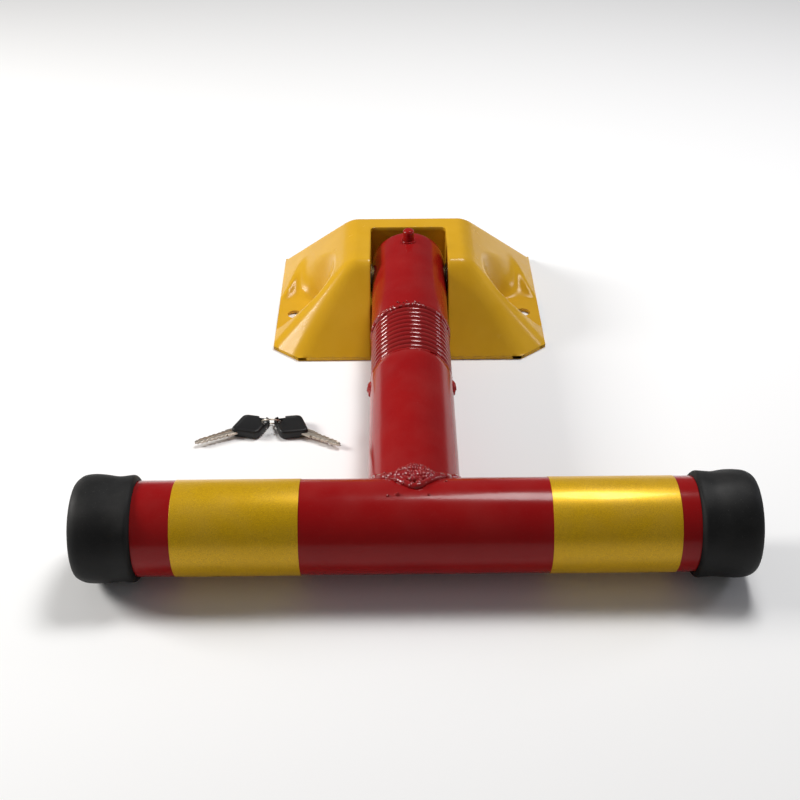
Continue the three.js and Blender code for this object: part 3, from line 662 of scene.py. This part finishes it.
def finish_cad_nodes():
    """Gives every carried-over node the finish of its slot."""
    for part in frame["record"]["subparts"]:
        obj, material = frame["nodes"][part["node"]], MATERIALS[part["material_slot"]]
        if not obj.material_slots:
            obj.data.materials.append(material)
        for material_slot in obj.material_slots:
            material_slot.material = material


# ---------------------------------------------------------------- base cover
def pocket_height(x, y):
    """The pressed pocket round an anchor hole: a flat floor and a steep wall, softly joined."""
    across = abs(abs(x) - ANCHOR_X)
    along = y - ANCHOR_Y
    out = (across**POCKET_SQUARE + abs(along) ** POCKET_SQUARE) ** (1 / POCKET_SQUARE)
    backward = along / math.hypot(across, along) if along > 0 else 0
    wall = POCKET_WALL + (POCKET_BACK_WALL - POCKET_WALL) * backward**4
    return smooth_most(COVER_RIM, COVER_RIM + (out - POCKET_R) * wall, 3 * wall + 3)


def cover_height(x, y):
    """The cover's outer surface over a point of the ground."""
    rise = COVER_TOP - COVER_RIM
    side = COVER_RIM + (HALF_WIDTH - abs(x)) * rise / (HALF_WIDTH - TOP_HALF)
    front = COVER_RIM + (y - FRONT_Y) * rise / (TOP_FRONT_Y - FRONT_Y)
    back = COVER_RIM + (BACK_Y - y) * rise / (BACK_Y - TOP_BACK_Y)
    out_x, out_y = abs(x) - (HALF_WIDTH - CORNER_X), FRONT_Y + CORNER_Y - y
    past = (out_x / CORNER_X + out_y / CORNER_Y) - 1
    tip_x, tip_y = TOP_HALF - (HALF_WIDTH - CORNER_X), FRONT_Y + CORNER_Y - TOP_FRONT_Y
    tip = (tip_x / CORNER_X + tip_y / CORNER_Y) - 1
    corner = COVER_RIM + past / tip * rise
    height = COVER_TOP
    for face in (side, front, back, corner):
        height = smooth_least(height, face, CREASE)
    height = smooth_least(height, pocket_height(x, y), 5)
    return max(height, EDGE_HEIGHT) - slot_roll(x, y)


def slot_roll(x, y):
    """How far the sheet turns down right at the slot."""
    beside, behind = abs(x) - SLOT_HALF, y - SLOT_BACK_Y
    gap = beside if behind <= 0 else behind if beside <= 0 else math.hypot(beside, behind)
    return SLOT_EDGE * 0.6 * (1 - min(max(gap, 0) / SLOT_EDGE, 1)) ** 2


def spaced(stops, steps):
    """Grid lines through every stop, with a given step between each pair."""
    lines = [stops[0]]
    for low, high, step in zip(stops, stops[1:], steps):
        count = max(1, round((high - low) / step))
        lines += [low + (high - low) * k / count for k in range(1, count + 1)]
    return lines


def footprint(x, y):
    """Pulls the grid in to the cut-off front corners, and rounds the slot's back corners."""
    over = max(0, abs(x) - (HALF_WIDTH - CORNER_X))
    front = FRONT_Y + over * CORNER_Y / CORNER_X
    middle = ANCHOR_Y
    if y < middle:
        y = middle + (y - middle) * (middle - front) / (middle - FRONT_Y)
    beside, behind = abs(x) - (SLOT_HALF - SLOT_ROUND), y - (SLOT_BACK_Y - SLOT_ROUND)
    on_edge = abs(abs(x) - SLOT_HALF) < TINY or abs(y - SLOT_BACK_Y) < TINY
    if on_edge and 0 < beside <= SLOT_ROUND + TINY and 0 < behind <= SLOT_ROUND + TINY:
        angle = math.atan2(behind, beside)
        x = math.copysign(SLOT_HALF - SLOT_ROUND + SLOT_ROUND * math.cos(angle), x)
        y = SLOT_BACK_Y - SLOT_ROUND + SLOT_ROUND * math.sin(angle)
    return x, y


def cover_sheet():
    """The pressed sheet: an outer and an inner skin over one grid, closed along every edge."""
    far, fine = HALF_WIDTH, 0.35
    x_stops = [SLOT_HALF, SLOT_HALF + SLOT_EDGE, far - 52, far - CORNER_X, far]
    right = spaced(x_stops, [fine, 1.5, 1.1, 1.1])
    xs = [-x for x in reversed(right)] + spaced([-SLOT_HALF, SLOT_HALF], [1.2])[1:-1] + right
    ys = spaced([FRONT_Y, -52, 22 - 0.85, SLOT_BACK_Y + SLOT_EDGE, BACK_Y], [1.5, 1.1, fine, 1.5])
    ys = sorted(set([y for y in ys if abs(y - SLOT_BACK_Y) > 0.2] + [SLOT_BACK_Y]))
    outer, inner, points = {}, {}, []
    for i, x0 in enumerate(xs):
        for j, y0 in enumerate(ys):
            x, y = footprint(x0, y0)
            z = cover_height(x, y)
            d = 0.05
            slope_x = (cover_height(x + d, y) - cover_height(x - d, y)) / (2 * d)
            slope_y = (cover_height(x, y + d) - cover_height(x, y - d)) / (2 * d)
            normal = Vector((-slope_x, -slope_y, 1)).normalized()
            under = Vector((x, y, z)) - normal * COVER_SHEET
            if abs(x0) <= SLOT_HALF + TINY and y0 <= SLOT_BACK_Y + TINY:
                under = Vector((x, y, max(z - COVER_SHEET / normal.z, 0.3)))
            under.z = max(under.z, 0.3)
            outer[i, j] = len(points)
            points.append(Vector((x, y, z)))
            inner[i, j] = len(points)
            points.append(under)
    faces, edges = [], {}
    for i in range(len(xs) - 1):
        for j in range(len(ys) - 1):
            middle_x, middle_y = (xs[i] + xs[i + 1]) / 2, (ys[j] + ys[j + 1]) / 2
            if abs(middle_x) < SLOT_HALF and middle_y < SLOT_BACK_Y:
                continue
            corners = [(i, j), (i + 1, j), (i + 1, j + 1), (i, j + 1)]
            faces.append([outer[c] for c in corners])
            faces.append([inner[c] for c in reversed(corners)])
            for a, b in zip(corners, corners[1:] + corners[:1]):
                edges[a, b] = True
    for a, b in [edge for edge in edges if (edge[1], edge[0]) not in edges]:
        faces.append([outer[a], inner[a], inner[b], outer[b]])
    used = sorted({n for face in faces for n in face})
    number = {n: k for k, n in enumerate(used)}
    return [points[n] for n in used], [[number[n] for n in face] for face in faces]


def rim_strip():
    """The short upright edge at the ground, as a ring of posts under the sheet's own outline."""
    outline = [(-SLOT_HALF, FRONT_Y), (CORNER_X - HALF_WIDTH, FRONT_Y), (-HALF_WIDTH, FRONT_Y + CORNER_Y),
               (-HALF_WIDTH, BACK_Y), (HALF_WIDTH, BACK_Y), (HALF_WIDTH, FRONT_Y + CORNER_Y),
               (HALF_WIDTH - CORNER_X, FRONT_Y), (SLOT_HALF, FRONT_Y)]
    middle_y = (FRONT_Y + BACK_Y) / 2
    points, rings = [], []
    for x, y in outline:
        at = Vector((x, y))
        inward = Vector((-math.copysign(COVER_SHEET, x), 0))
        if y in (FRONT_Y, BACK_Y):
            inward.y = math.copysign(COVER_SHEET, middle_y - y)
        if abs(x) < SLOT_HALF + TINY:
            inward.x = 0
        within = at + inward
        rings.append(range(len(points), len(points) + 4))
        for spot, z in ((at, 0), (at, EDGE_HEIGHT), (within, COVER_RIM * 0.6), (within, 0)):
            points.append(Vector((spot.x, spot.y, z)))
    return points, stitched(rings, False) + [list(rings[0]), list(rings[-1])]


def make_base():
    holes = []
    for side in (-1, 1):
        hole = turned([(0, -3), (ANCHOR_HOLE_R, -3), (ANCHOR_HOLE_R, 8), (0, 8)], "z", 48, closed=False)
        holes.append(moved(hole, side * ANCHOR_X, ANCHOR_Y))
    paint = MATERIALS["yellow_paint"]
    piece("pressed_cover", cover_sheet(), "base", paint, "yellow_paint", ["base_cover"],
          smooth_angle=50, cutters=holes)
    piece("cover_rim", rim_strip(), "base", paint, "yellow_paint", ["base_cover"])


# ---------------------------------------------------------------- barrier tubes
def barrier_piece(name, shape, body, slot, nodes=(), finish=None, **more):
    return piece(name, shape, body, MATERIALS[finish or slot], slot, nodes, place=BARRIER, **more)


def tail_end(angle):
    """The stub's tail is cut square above and rounded below, where it sweeps over the keeper."""
    depth = TUBE_R * math.cos(angle)
    if depth > 0:
        return STUB_TAIL
    return min(STUB_TAIL, math.sqrt(TAIL_SWEEP_R**2 - depth**2))


def saddle_end(angle):
    """The post's front end is shaped to the crossbar."""
    return -REACH + TUBE_R * abs(math.sin(angle))


def make_stub():
    lock_outline = [(0, -40), (LOCK_HOLE_R, -40), (LOCK_HOLE_R, -10), (0, -10)]
    lock_hole = moved(turned(lock_outline, "z", 64, closed=False), y=LOCK_Y)
    tube = sleeve(lambda angle: STUB_FRONT, tail_end)
    barrier_piece("stub_tube_body", tube, "stub", "red_paint", ["stub_tube"], cutters=[lock_hole])


def make_tail_plate():
    """The disc that closes the stub's tail, trimmed to the tail's sweep, with the bolt's hole."""
    back, front, edge = STUB_TAIL - 0.6, STUB_TAIL - 3.3, TUBE_IN - 0.3
    face = softened([(0, front, 0), (edge, front, 0), (edge, back, 0.8), (0, back, 0)], closed=False)
    points, faces = turned(face, "y", 96, closed=False)
    for p in points:
        if p.z < 0:
            p.y = min(p.y, math.sqrt(TAIL_SWEEP_R**2 - p.z**2))
    hole_outline = [(0, 10), (BOLT_HOLE_R, 10), (BOLT_HOLE_R, 30), (0, 30)]
    hole = moved(turned(hole_outline, "y", 48, False), z=BOLT_Z)
    barrier_piece("tail_plate", (points, faces), "stub", "red_paint", ["stub_end_plate"], cutters=[hole])
    seam = [on_axis("y", TUBE_IN - 0.4, 2 * math.pi * k / 120, 0) for k in range(120)]
    for p in seam:
        p.y = tail_end(math.atan2(p.x, p.z)) - 0.5
    barrier_piece("tail_plate_weld", weld_bead(seam, 0.9, 3, loop=True), "stub", "red_paint")


def make_stud():
    root, top = 24.5, TUBE_R + STUD_HEIGHT
    profile = softened([(0, root, 0), (STUD_R, root, 0), (STUD_R, top - 1.6, 0.4),
                        (STUD_R - 1.3, top, 0.7), (0, top, 0)], closed=False)
    stud = moved(turned(profile, "z", 48, closed=False), y=STUD_Y)
    ring = []
    for k in range(60):
        angle = 2 * math.pi * k / 60
        x, y = (STUD_R + 0.5) * math.sin(angle), STUD_Y + (STUD_R + 0.5) * math.cos(angle)
        ring.append(Vector((x, y, math.sqrt(TUBE_R**2 - x * x) + 0.1)))
    shape = joined(stud, weld_bead(ring, 1.1, 8, loop=True))
    barrier_piece("stop_stud", shape, "stub", "red_paint", ["limit_stud"])


def arc_points(radius, along, low, high, count):
    """Points round the barrier's axis between two angles measured from the top, in degrees."""
    spots = []
    for k in range(count):
        angle = math.radians(low + (high - low) * k / (count - 1))
        spots.append(on_axis("y", radius, angle, along))
    return spots


def scattered_drops(seed, count, low, high, along_low, along_high, size_low, size_high):
    """Spatter: small frozen drops at fixed pseudo-random places on the tube."""
    drops = []
    for k in range(count):
        key = Vector((seed * 3.7 + k * 1.913, k * 0.777, seed))
        shares = [min(max(noise.noise(key * s) * 0.9 + 0.5, 0), 1) for s in (1.3, 2.9, 4.1)]
        angle = math.radians(low + (high - low) * shares[0])
        along = along_low + (along_high - along_low) * shares[1]
        size = size_low + (size_high - size_low) * shares[2]
        drops.append(droplet(on_axis("y", TUBE_R + size * 0.15, angle, along), size, seed + k))
    return joined(*drops)


def make_spring():
    """The close-wound spring in two halves, made in place and tied to no body."""
    radius = TUBE_R - SPRING_WIRE_R
    per_turn = 72

    def half(first, last):
        path = []
        for k in range(int((last - first) * per_turn) + 1):
            turn = first + k / per_turn
            angle = math.pi + 2 * math.pi * turn
            along = SPRING_MIDDLE + SPRING_PITCH * (turn - SPRING_TURNS / 2)
            path.append(on_axis("y", radius, angle, along))
        return wire(path, lambda i: SPRING_WIRE_R, 16)

    def coil(name, first, last):
        shape = half(first, last)
        return barrier_piece(name, shape, None, "red_paint", ["coil_spring"], "wet_red_paint")

    middle = SPRING_TURNS / 2
    post_half = coil("spring_post_half", 0, middle)
    stub_half = coil("spring_stub_half", middle, SPRING_TURNS)
    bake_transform(stub_half)
    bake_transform(post_half)


def make_spring_welds():
    """The coil's ends are welded to both tubes; the weld at the stub is the rougher one."""
    stub_seam = arc_points(TUBE_R - 1.3, STUB_FRONT - 1.6, -180, 180, 180)
    shapes = [weld_bead(stub_seam[:-1], 2.2, 5, loop=True)]
    for k, (low, high) in enumerate(((-78, -22), (-12, 26), (38, 84))):
        run = arc_points(TUBE_R - 0.4, STUB_FRONT - 0.4 - k % 2, low, high, 50)
        shapes.append(weld_bead(run, 1.5, 11 + k))
    shapes.append(scattered_drops(2, 34, -100, 100, STUB_FRONT - 5, STUB_FRONT + 4, 0.45, 1.15))
    barrier_piece("stub_spring_weld", joined(*shapes), "stub", "red_paint", (), "wet_red_paint")
    post_seam = arc_points(TUBE_R - 1.7, POST_BACK + 1.0, -180, 180, 180)
    drops = scattered_drops(7, 5, 10, 60, POST_BACK - 1, POST_BACK + 2, 0.5, 0.9)
    bead = weld_bead(post_seam[:-1], SEAM_WELD_R, 6, loop=True)
    barrier_piece("post_spring_weld", joined(bead, drops), "post", "red_paint")


def plug_weld(side, seed):
    """A hole in the post tube filled with weld: a low, lumpy mound that follows the tube's side."""
    lumps = []
    spots = [(0, 0, 3.6), (3.6, 0.8, 3.0), (-3.8, -0.6, 3.1), (0.5, 3.2, 2.7), (-1.0, -3.0, 2.8),
             (5.6, -1.4, 1.9), (-5.8, 1.5, 1.9)]
    for k, (along, up, size) in enumerate(spots):
        angle = side * (math.pi / 2) - side * up / TUBE_R
        centre = on_axis("y", TUBE_R - size * 0.42, angle, POST_BACK - PLUG_WELD_BACK + along)
        lumps.append(droplet(centre, size, seed + k, 18, 11))
    return joined(*lumps)


def make_post():
    tube = sleeve(saddle_end, lambda angle: POST_BACK)
    barrier_piece("post_tube_body", tube, "post", "red_paint", ["post_tube"])
    barrier_piece("plug_weld_left_side", plug_weld(-1, 21), "post", "red_paint", ["plug_weld_left"])
    barrier_piece("plug_weld_right_side", plug_weld(1, 34), "post", "red_paint", ["plug_weld_right"])


def saddle_point(angle, lift):
    """A point of the line where post and crossbar meet, at an angle from the top of the post."""
    x = (TUBE_R + lift) * math.sin(angle)
    return Vector((x, -REACH + math.hypot(x, TEE_WELD_R), (TUBE_R + lift) * math.cos(angle)))


def make_tee_weld():
    """The bead round the joint of post and crossbar, heaped up over the top, with spatter."""
    loop = [saddle_point(2 * math.pi * k / 200, 0.2) for k in range(200)]
    shapes = [weld_bead(loop, TEE_WELD_R, 41, loop=True)]
    for k in range(TEE_WELD_ROWS):
        half_width = TEE_WELD_HALF * (1 - 0.12 * k)
        run = []
        for i in range(70):
            x = half_width * (2 * i / 69 - 1)
            fill = (1 - (x / half_width) ** 2) * (k + 0.5) * TEE_WELD_STEP
            y = -REACH + math.hypot(x, TEE_WELD_SAG) + fill - 1.5
            run.append(Vector((x, y, math.sqrt(TUBE_R**2 - x * x) + 0.2)))
        shapes.append(weld_bead(run, 2.3 + 0.4 * (k % 2), 50 + 3 * k, ripple=3.1))
    for k in range(26):
        spread = noise.noise(Vector((k * 1.37, 4.2, 0.3))) * 75
        at = saddle_point(math.radians(spread), 1.5)
        size = 0.8 + 1.6 * abs(noise.noise(Vector((k * 0.91, 1.2, 7.7))))
        at.y += 5 * noise.noise(Vector((3.3, k * 1.71, 2.9)))
        shapes.append(droplet(at, size, 60 + k, 14, 9))
    for k, (x, back) in enumerate(((8, 22), (15, 26), (-11, 20), (19, 18), (-17, 24), (3, 28))):
        y = TUBE_R * math.cos(math.radians(90 - back)) * (1 if k % 2 else -0.4)
        at = Vector((x, -REACH + y, math.sqrt(TUBE_R**2 - y**2)))
        shapes.append(droplet(at, 0.9 + 0.25 * (k % 3), 90 + k))
    barrier_piece("tee_weld_bead", joined(*shapes), "post", "red_paint", ["tee_weld"], "wet_red_paint")


def make_crossbar():
    half = node_box("crossbar_tube")[1].x
    outline = softened([(TUBE_IN, -half, 0), (TUBE_R, -half, 1), (TUBE_R, half, 1), (TUBE_IN, half, 0)])
    tube = moved(turned(outline, "x", 160), y=-REACH)
    barrier_piece("crossbar_body", tube, "post", "red_paint", ["crossbar_tube"])
    for side in ("left", "right"):
        low, high = node_box("tape_" + side)
        under, over = TUBE_R + 0.02, TUBE_R + 0.3
        band = softened([(under, low.x, 0), (over, low.x, 0.2), (over, high.x, 0.2), (under, high.x, 0)])
        shape = moved(turned(band, "x", 160), y=-REACH)
        barrier_piece("band_" + side, shape, "post", "gold_tape", ["tape_" + side])


def cap_shape(side):
    """A soft moulded cap: full at the closed end, drawn in at the waist, uneven at the lip."""
    node = "end_cap_right" if side > 0 else "end_cap_left"
    low, high = node_box(node)
    mouth, end = (low.x, high.x) if side > 0 else (high.x, low.x)
    length = abs(end - mouth)
    full = (high.z - low.z) / 2
    profile = softened([
        (TUBE_R + 0.25, 0, 0), (full - 3.4, 0.3, 0.8), (full - 1.1, 2.0, 1.6), (full - 1.5, 6.5, 3),
        (full - 2.0, 12.5, 5), (full - 0.9, 20, 5), (full - 0.55, 27, 5), (full - 1.2, 33.5, 4),
        (full - 4.2, length - 1.4, 3.2), (full - 9.5, length - 0.2, 4), (12, length, 3),
        (0, length, 0)], steps=5, closed=False)
    profile += [Vector((0, length - 4.8)), Vector((TUBE_R + 0.25, length - 4.8))]
    points, faces = turned([Vector(p) for p in profile], "x", 128)
    seed = 3 if side > 0 else 7
    shaped = []
    for p in points:
        out = math.hypot(p.y, p.z)
        share = min(max((out - TUBE_R - 0.3) / 3, 0), 1) if p.x < length - 1.5 else min(out / 20, 1) * 0.6
        ray = Vector((0, p.y, p.z)) / max(out, TINY)
        swell = 0.75 * wander(p, 30, seed) + 0.3 * wander(p, 11, seed + 1)
        lip = math.exp(-((p.x - 1) / 3.5) ** 2) * wander(Vector((0, p.y, p.z)), 16, seed + 2)
        q = p + ray * share * (swell - 0.45 + 0.5 * lip)
        q.x += share * (0.9 * lip + 0.5 * wander(p, 24, seed + 4)) if p.x < 12 else 0
        shaped.append(Vector((mouth + side * min(max(q.x, 0), length), q.y - REACH, q.z)))
    return shaped, faces


def make_caps():
    for side, word in ((-1, "left"), (1, "right")):
        barrier_piece("soft_cap_" + word, cap_shape(side), "post", "black_rubber",
                      ["end_cap_" + word], smooth_angle=60)


# ---------------------------------------------------------------- lock face
def make_lock():
    """The barrel with its rounded flange, and the plug with a keyway."""
    top, face = -9, -32.3
    outline = softened([(7.15, face, 0.3), (13, face, 1.1), (13, face + 2, 0.3), (10, face + 2, 0),
                        (10, top, 0.5), (7.15, top, 0.3)])
    barrel = moved(turned(outline, "z", 96), y=LOCK_Y)
    barrier_piece("lock_barrel_body", barrel, "stub", "bush_brass", ["lock_barrel"])
    profile = softened([(0, face + 0.3, 0), (7, face + 0.3, 0.5), (7, top + 1, 0.3), (0, top + 1, 0)],
                       closed=False)
    plug = moved(turned(profile, "z", 96, closed=False), y=LOCK_Y)
    keyway = moved(bar((1.3, 4.5), face - 1, face + 20), y=LOCK_Y)
    barrier_piece("lock_plug_body", plug, "lock_plug", "bush_brass", ["lock_plug"], cutters=[keyway])


# ---------------------------------------------------------------- keys
def key_place(letter):
    """A key's own frame: the ring hole at the origin and the blade towards +X."""
    turn = math.radians(KEY_TURNS[letter])
    heading = Vector((math.cos(turn), math.sin(turn), 0))
    low, high = node_box("key_head_" + letter)
    middle = (low + high) / 2
    hole = middle - heading * (KEY_HEAD_LONG / 2 - KEY_HOLE_INSET)
    return Matrix.Translation((hole.x, hole.y, 0)) @ Matrix.Rotation(turn, 4, "Z")


def head_outline(inset, steps=7):
    """A rhombus with rounded corners, drawn in by an inset."""
    middle = KEY_HEAD_LONG / 2 - KEY_HOLE_INSET
    shrink = inset * math.hypot(KEY_HEAD_LONG, KEY_HEAD_WIDE)
    long = KEY_HEAD_LONG / 2 - shrink / KEY_HEAD_WIDE
    wide = KEY_HEAD_WIDE / 2 - shrink / KEY_HEAD_LONG
    cut_back = max(KEY_HEAD_CORNER - inset * 0.8, 0.8)
    spots = [(middle - long, 0), (middle, -wide), (middle + long, 0), (middle, wide)]
    return softened([(x, y, cut_back) for x, y in spots], steps)


def key_head():
    """A moulded head: a rounded rim round a slightly sunk face, the same above and below."""
    levels = [(3.4, 0.42), (2.7, 0.35), (2.0, 0.05), (1.3, 0.0), (0.5, 0.4), (0.12, 1.1), (0.0, 2.0)]
    layers = levels + [(inset, KEY_HEAD - z) for inset, z in reversed(levels)]
    points, rings = [], []
    for inset, z in layers:
        outline = head_outline(inset)
        rings.append(range(len(points), len(points) + len(outline)))
        points += [Vector((p.x, p.y, z)) for p in outline]
    return points, stitched(rings, False) + [list(rings[0]), list(rings[-1])]


def head_cutters():
    """The ring hole, and a trough round it in each face."""
    hole_r, below, above = KEY_HOLE_R - 0.6, -1, KEY_HEAD + 1
    hole = turned([(0, below), (hole_r, below), (hole_r, above), (0, above)], "z", 40, closed=False)
    outline = softened([(-2.6, -7.2, 2.4), (2.9, -5.6, 2.6), (2.9, 5.6, 2.6), (-2.6, 7.2, 2.4)], 6)
    rings = [range(len(outline)), range(len(outline), 2 * len(outline))]
    faces = stitched(rings, False) + [list(ring) for ring in rings]
    troughs = []
    for levels in ((below, 2.3), (4.7, above)):
        troughs.append(([Vector((p.x - 0.2, p.y, z)) for z in levels for p in outline], faces))
    return [hole] + troughs


def blade_half_width(x, root, tip):
    """The cut edge: a plain shoulder, then steps of uneven depth down to the pointed tip."""
    half = BLADE_WIDTH / 2
    share = (x - root) / (tip - root)
    if share < 0.1:
        return half - 0.2
    if share > 0.93:
        return half * 0.5 * (1 - share) / 0.07 + 0.15
    tooth = abs(((share - 0.1) * 7.5) % 1 - 0.5) * 2
    depth = 0.2 + 0.4 * (0.5 + 0.5 * math.sin(share * 23)) + 1.3 * share
    return half - depth - 0.9 * tooth


def key_blade():
    """A double-cut blade with rounded flanks and a groove milled down the middle of each face."""
    start = KEY_HEAD_LONG - KEY_HOLE_INSET - BLADE_ROOT
    root = start + BLADE_ROOT
    tip = root + BLADE_LENGTH
    middle = KEY_HEAD / 2
    points, rings = [], []
    count = 150
    for i in range(count + 1):
        x = start + (tip - start) * i / count
        width = blade_half_width(x, root, tip) if x > root else BLADE_WIDTH / 2 - 0.3
        groove = 0.55 if x < tip - 5 else 0.55 * max(0, (tip - x - 1) / 4)
        groove_half = min(1.15, width * 0.45)
        flank = [(-width, 0.35), (-width + 0.25, 0.9), (-width + 0.5, 1.0),
                 (-groove_half - 0.25, 1.0), (-groove_half, 1 - groove)]
        section = flank + [(-y, z) for y, z in reversed(flank)]
        section += [(y, -z) for y, z in reversed(section)]
        rings.append(range(len(points), len(points) + len(section)))
        points += [Vector((x, y, middle + z)) for y, z in section]
    return points, stitched(rings, False) + [list(rings[0]), list(rings[-1])]


def make_keys():
    for letter in "ab":
        place, body = key_place(letter), "key_" + letter
        piece("head_of_key_" + letter, key_head(), body, MATERIALS["black_plastic"], "black_plastic",
              ["key_head_" + letter], place=place, smooth_angle=35, cutters=head_cutters())
        piece("blade_of_key_" + letter, key_blade(), body, MATERIALS["nickel"], "nickel",
              ["key_blade_" + letter], place=place, smooth_angle=30)


def make_key_ring():
    """A split ring: nearly two turns of thin wire, one on the other."""
    tilt = Matrix.Rotation(math.radians(-KEY_RING_TILT), 4, "X")
    path = []
    turns, steps, rise = 1.9, 150, 0.76
    for k in range(steps + 1):
        angle = 2 * math.pi * turns * k / steps + 0.6
        along = rise / 2 - rise * k / steps
        path.append(Vector((KEY_RING_R * math.cos(angle), KEY_RING_R * math.sin(angle), along)))
    place = Matrix.Translation(node_middle("key_ring")) @ tilt
    piece("split_ring", wire(path, lambda i: 0.42, 12), "key_ring", MATERIALS["nickel"], "nickel",
          ["key_ring"], place=place)


# ---------------------------------------------------------------- camera, floor and light
def look_camera():
    """The viewpoint, in metres and degrees: in front, above, and turned a little to the right."""
    camera = bpy.data.objects.new("camera", bpy.data.cameras.new("camera"))
    camera.data.sensor_width = 36
    camera.data.lens = 54.46
    camera.data.clip_start = 0.01
    down, yaw, roll = (math.radians(d) for d in (35.42, 0.197, -0.406))
    ahead = Vector((math.sin(yaw) * math.cos(down), math.cos(yaw) * math.cos(down), -math.sin(down)))
    right = Vector((math.cos(yaw), -math.sin(yaw), 0))
    up = right.cross(ahead)
    across = right * math.cos(roll) + up * math.sin(roll)
    above = up * math.cos(roll) - right * math.sin(roll)
    turn = Matrix((across, above, -ahead)).transposed()
    camera.matrix_world = Matrix.Translation((-0.011, -0.8973, 0.5398)) @ turn.to_4x4()
    bpy.context.scene.collection.objects.link(camera)
    bpy.context.scene.camera = camera


def make_floor():
    half, drop = 4.0, 0.0004
    mesh = bpy.data.meshes.new("studio_floor")
    corners = [(x, y, -drop) for x in (-half, half) for y in (-half, half)]
    mesh.from_pydata(corners, [], [[0, 2, 3, 1]])
    floor = bpy.data.objects.new("studio_floor", mesh)
    bpy.context.scene.collection.objects.link(floor)
    finish = Finish("pale_floor", Base_Color=(0.93, 0.93, 0.925, 1), Roughness=0.85)
    mesh.materials.append(finish.material)


def soft_light(name, at, size, watts, colour=(1, 1, 1)):
    """A rectangular lamp aimed at the middle of the barrier."""
    lamp = bpy.data.lights.new(name, "AREA")
    lamp.shape = "RECTANGLE"
    lamp.size, lamp.size_y = size
    lamp.energy = watts
    lamp.color = colour
    obj = bpy.data.objects.new(name, lamp)
    obj.location = at
    obj.rotation_mode = "QUATERNION"
    obj.rotation_quaternion = (Vector(LIGHT_AIM) - Vector(at)).to_track_quat("-Z", "Y")
    bpy.context.scene.collection.objects.link(obj)


LIGHT_AIM = (0, -0.15, 0)


def make_studio():
    look_camera()
    make_floor()
    soft_light("key_left", (-1.35, 0.02, 0.74), (0.5, 0.4), 18, (1.0, 0.98, 0.95))
    soft_light("top_small", (0.3, 0.25, 1.4), (0.45, 0.45), 14)
    soft_light("fill_right", (1.3, 0.25, 0.55), (0.25, 0.3), 2.5, (0.9, 0.9, 1.0))
    world = bpy.data.worlds.new("studio")
    world.use_nodes = True
    world.node_tree.nodes["Background"].inputs["Color"].default_value = (0.16, 0.16, 0.165, 1)
    bpy.context.scene.world = world
    bpy.context.scene.view_settings.view_transform = "Standard"


# ---------------------------------------------------------------- assembly
make_studio()
finish_cad_nodes()
make_base()
make_stub()
make_tail_plate()
make_stud()
make_spring()
make_spring_welds()
make_post()
make_tee_weld()
make_crossbar()
make_caps()
make_lock()
make_keys()
make_key_ring()
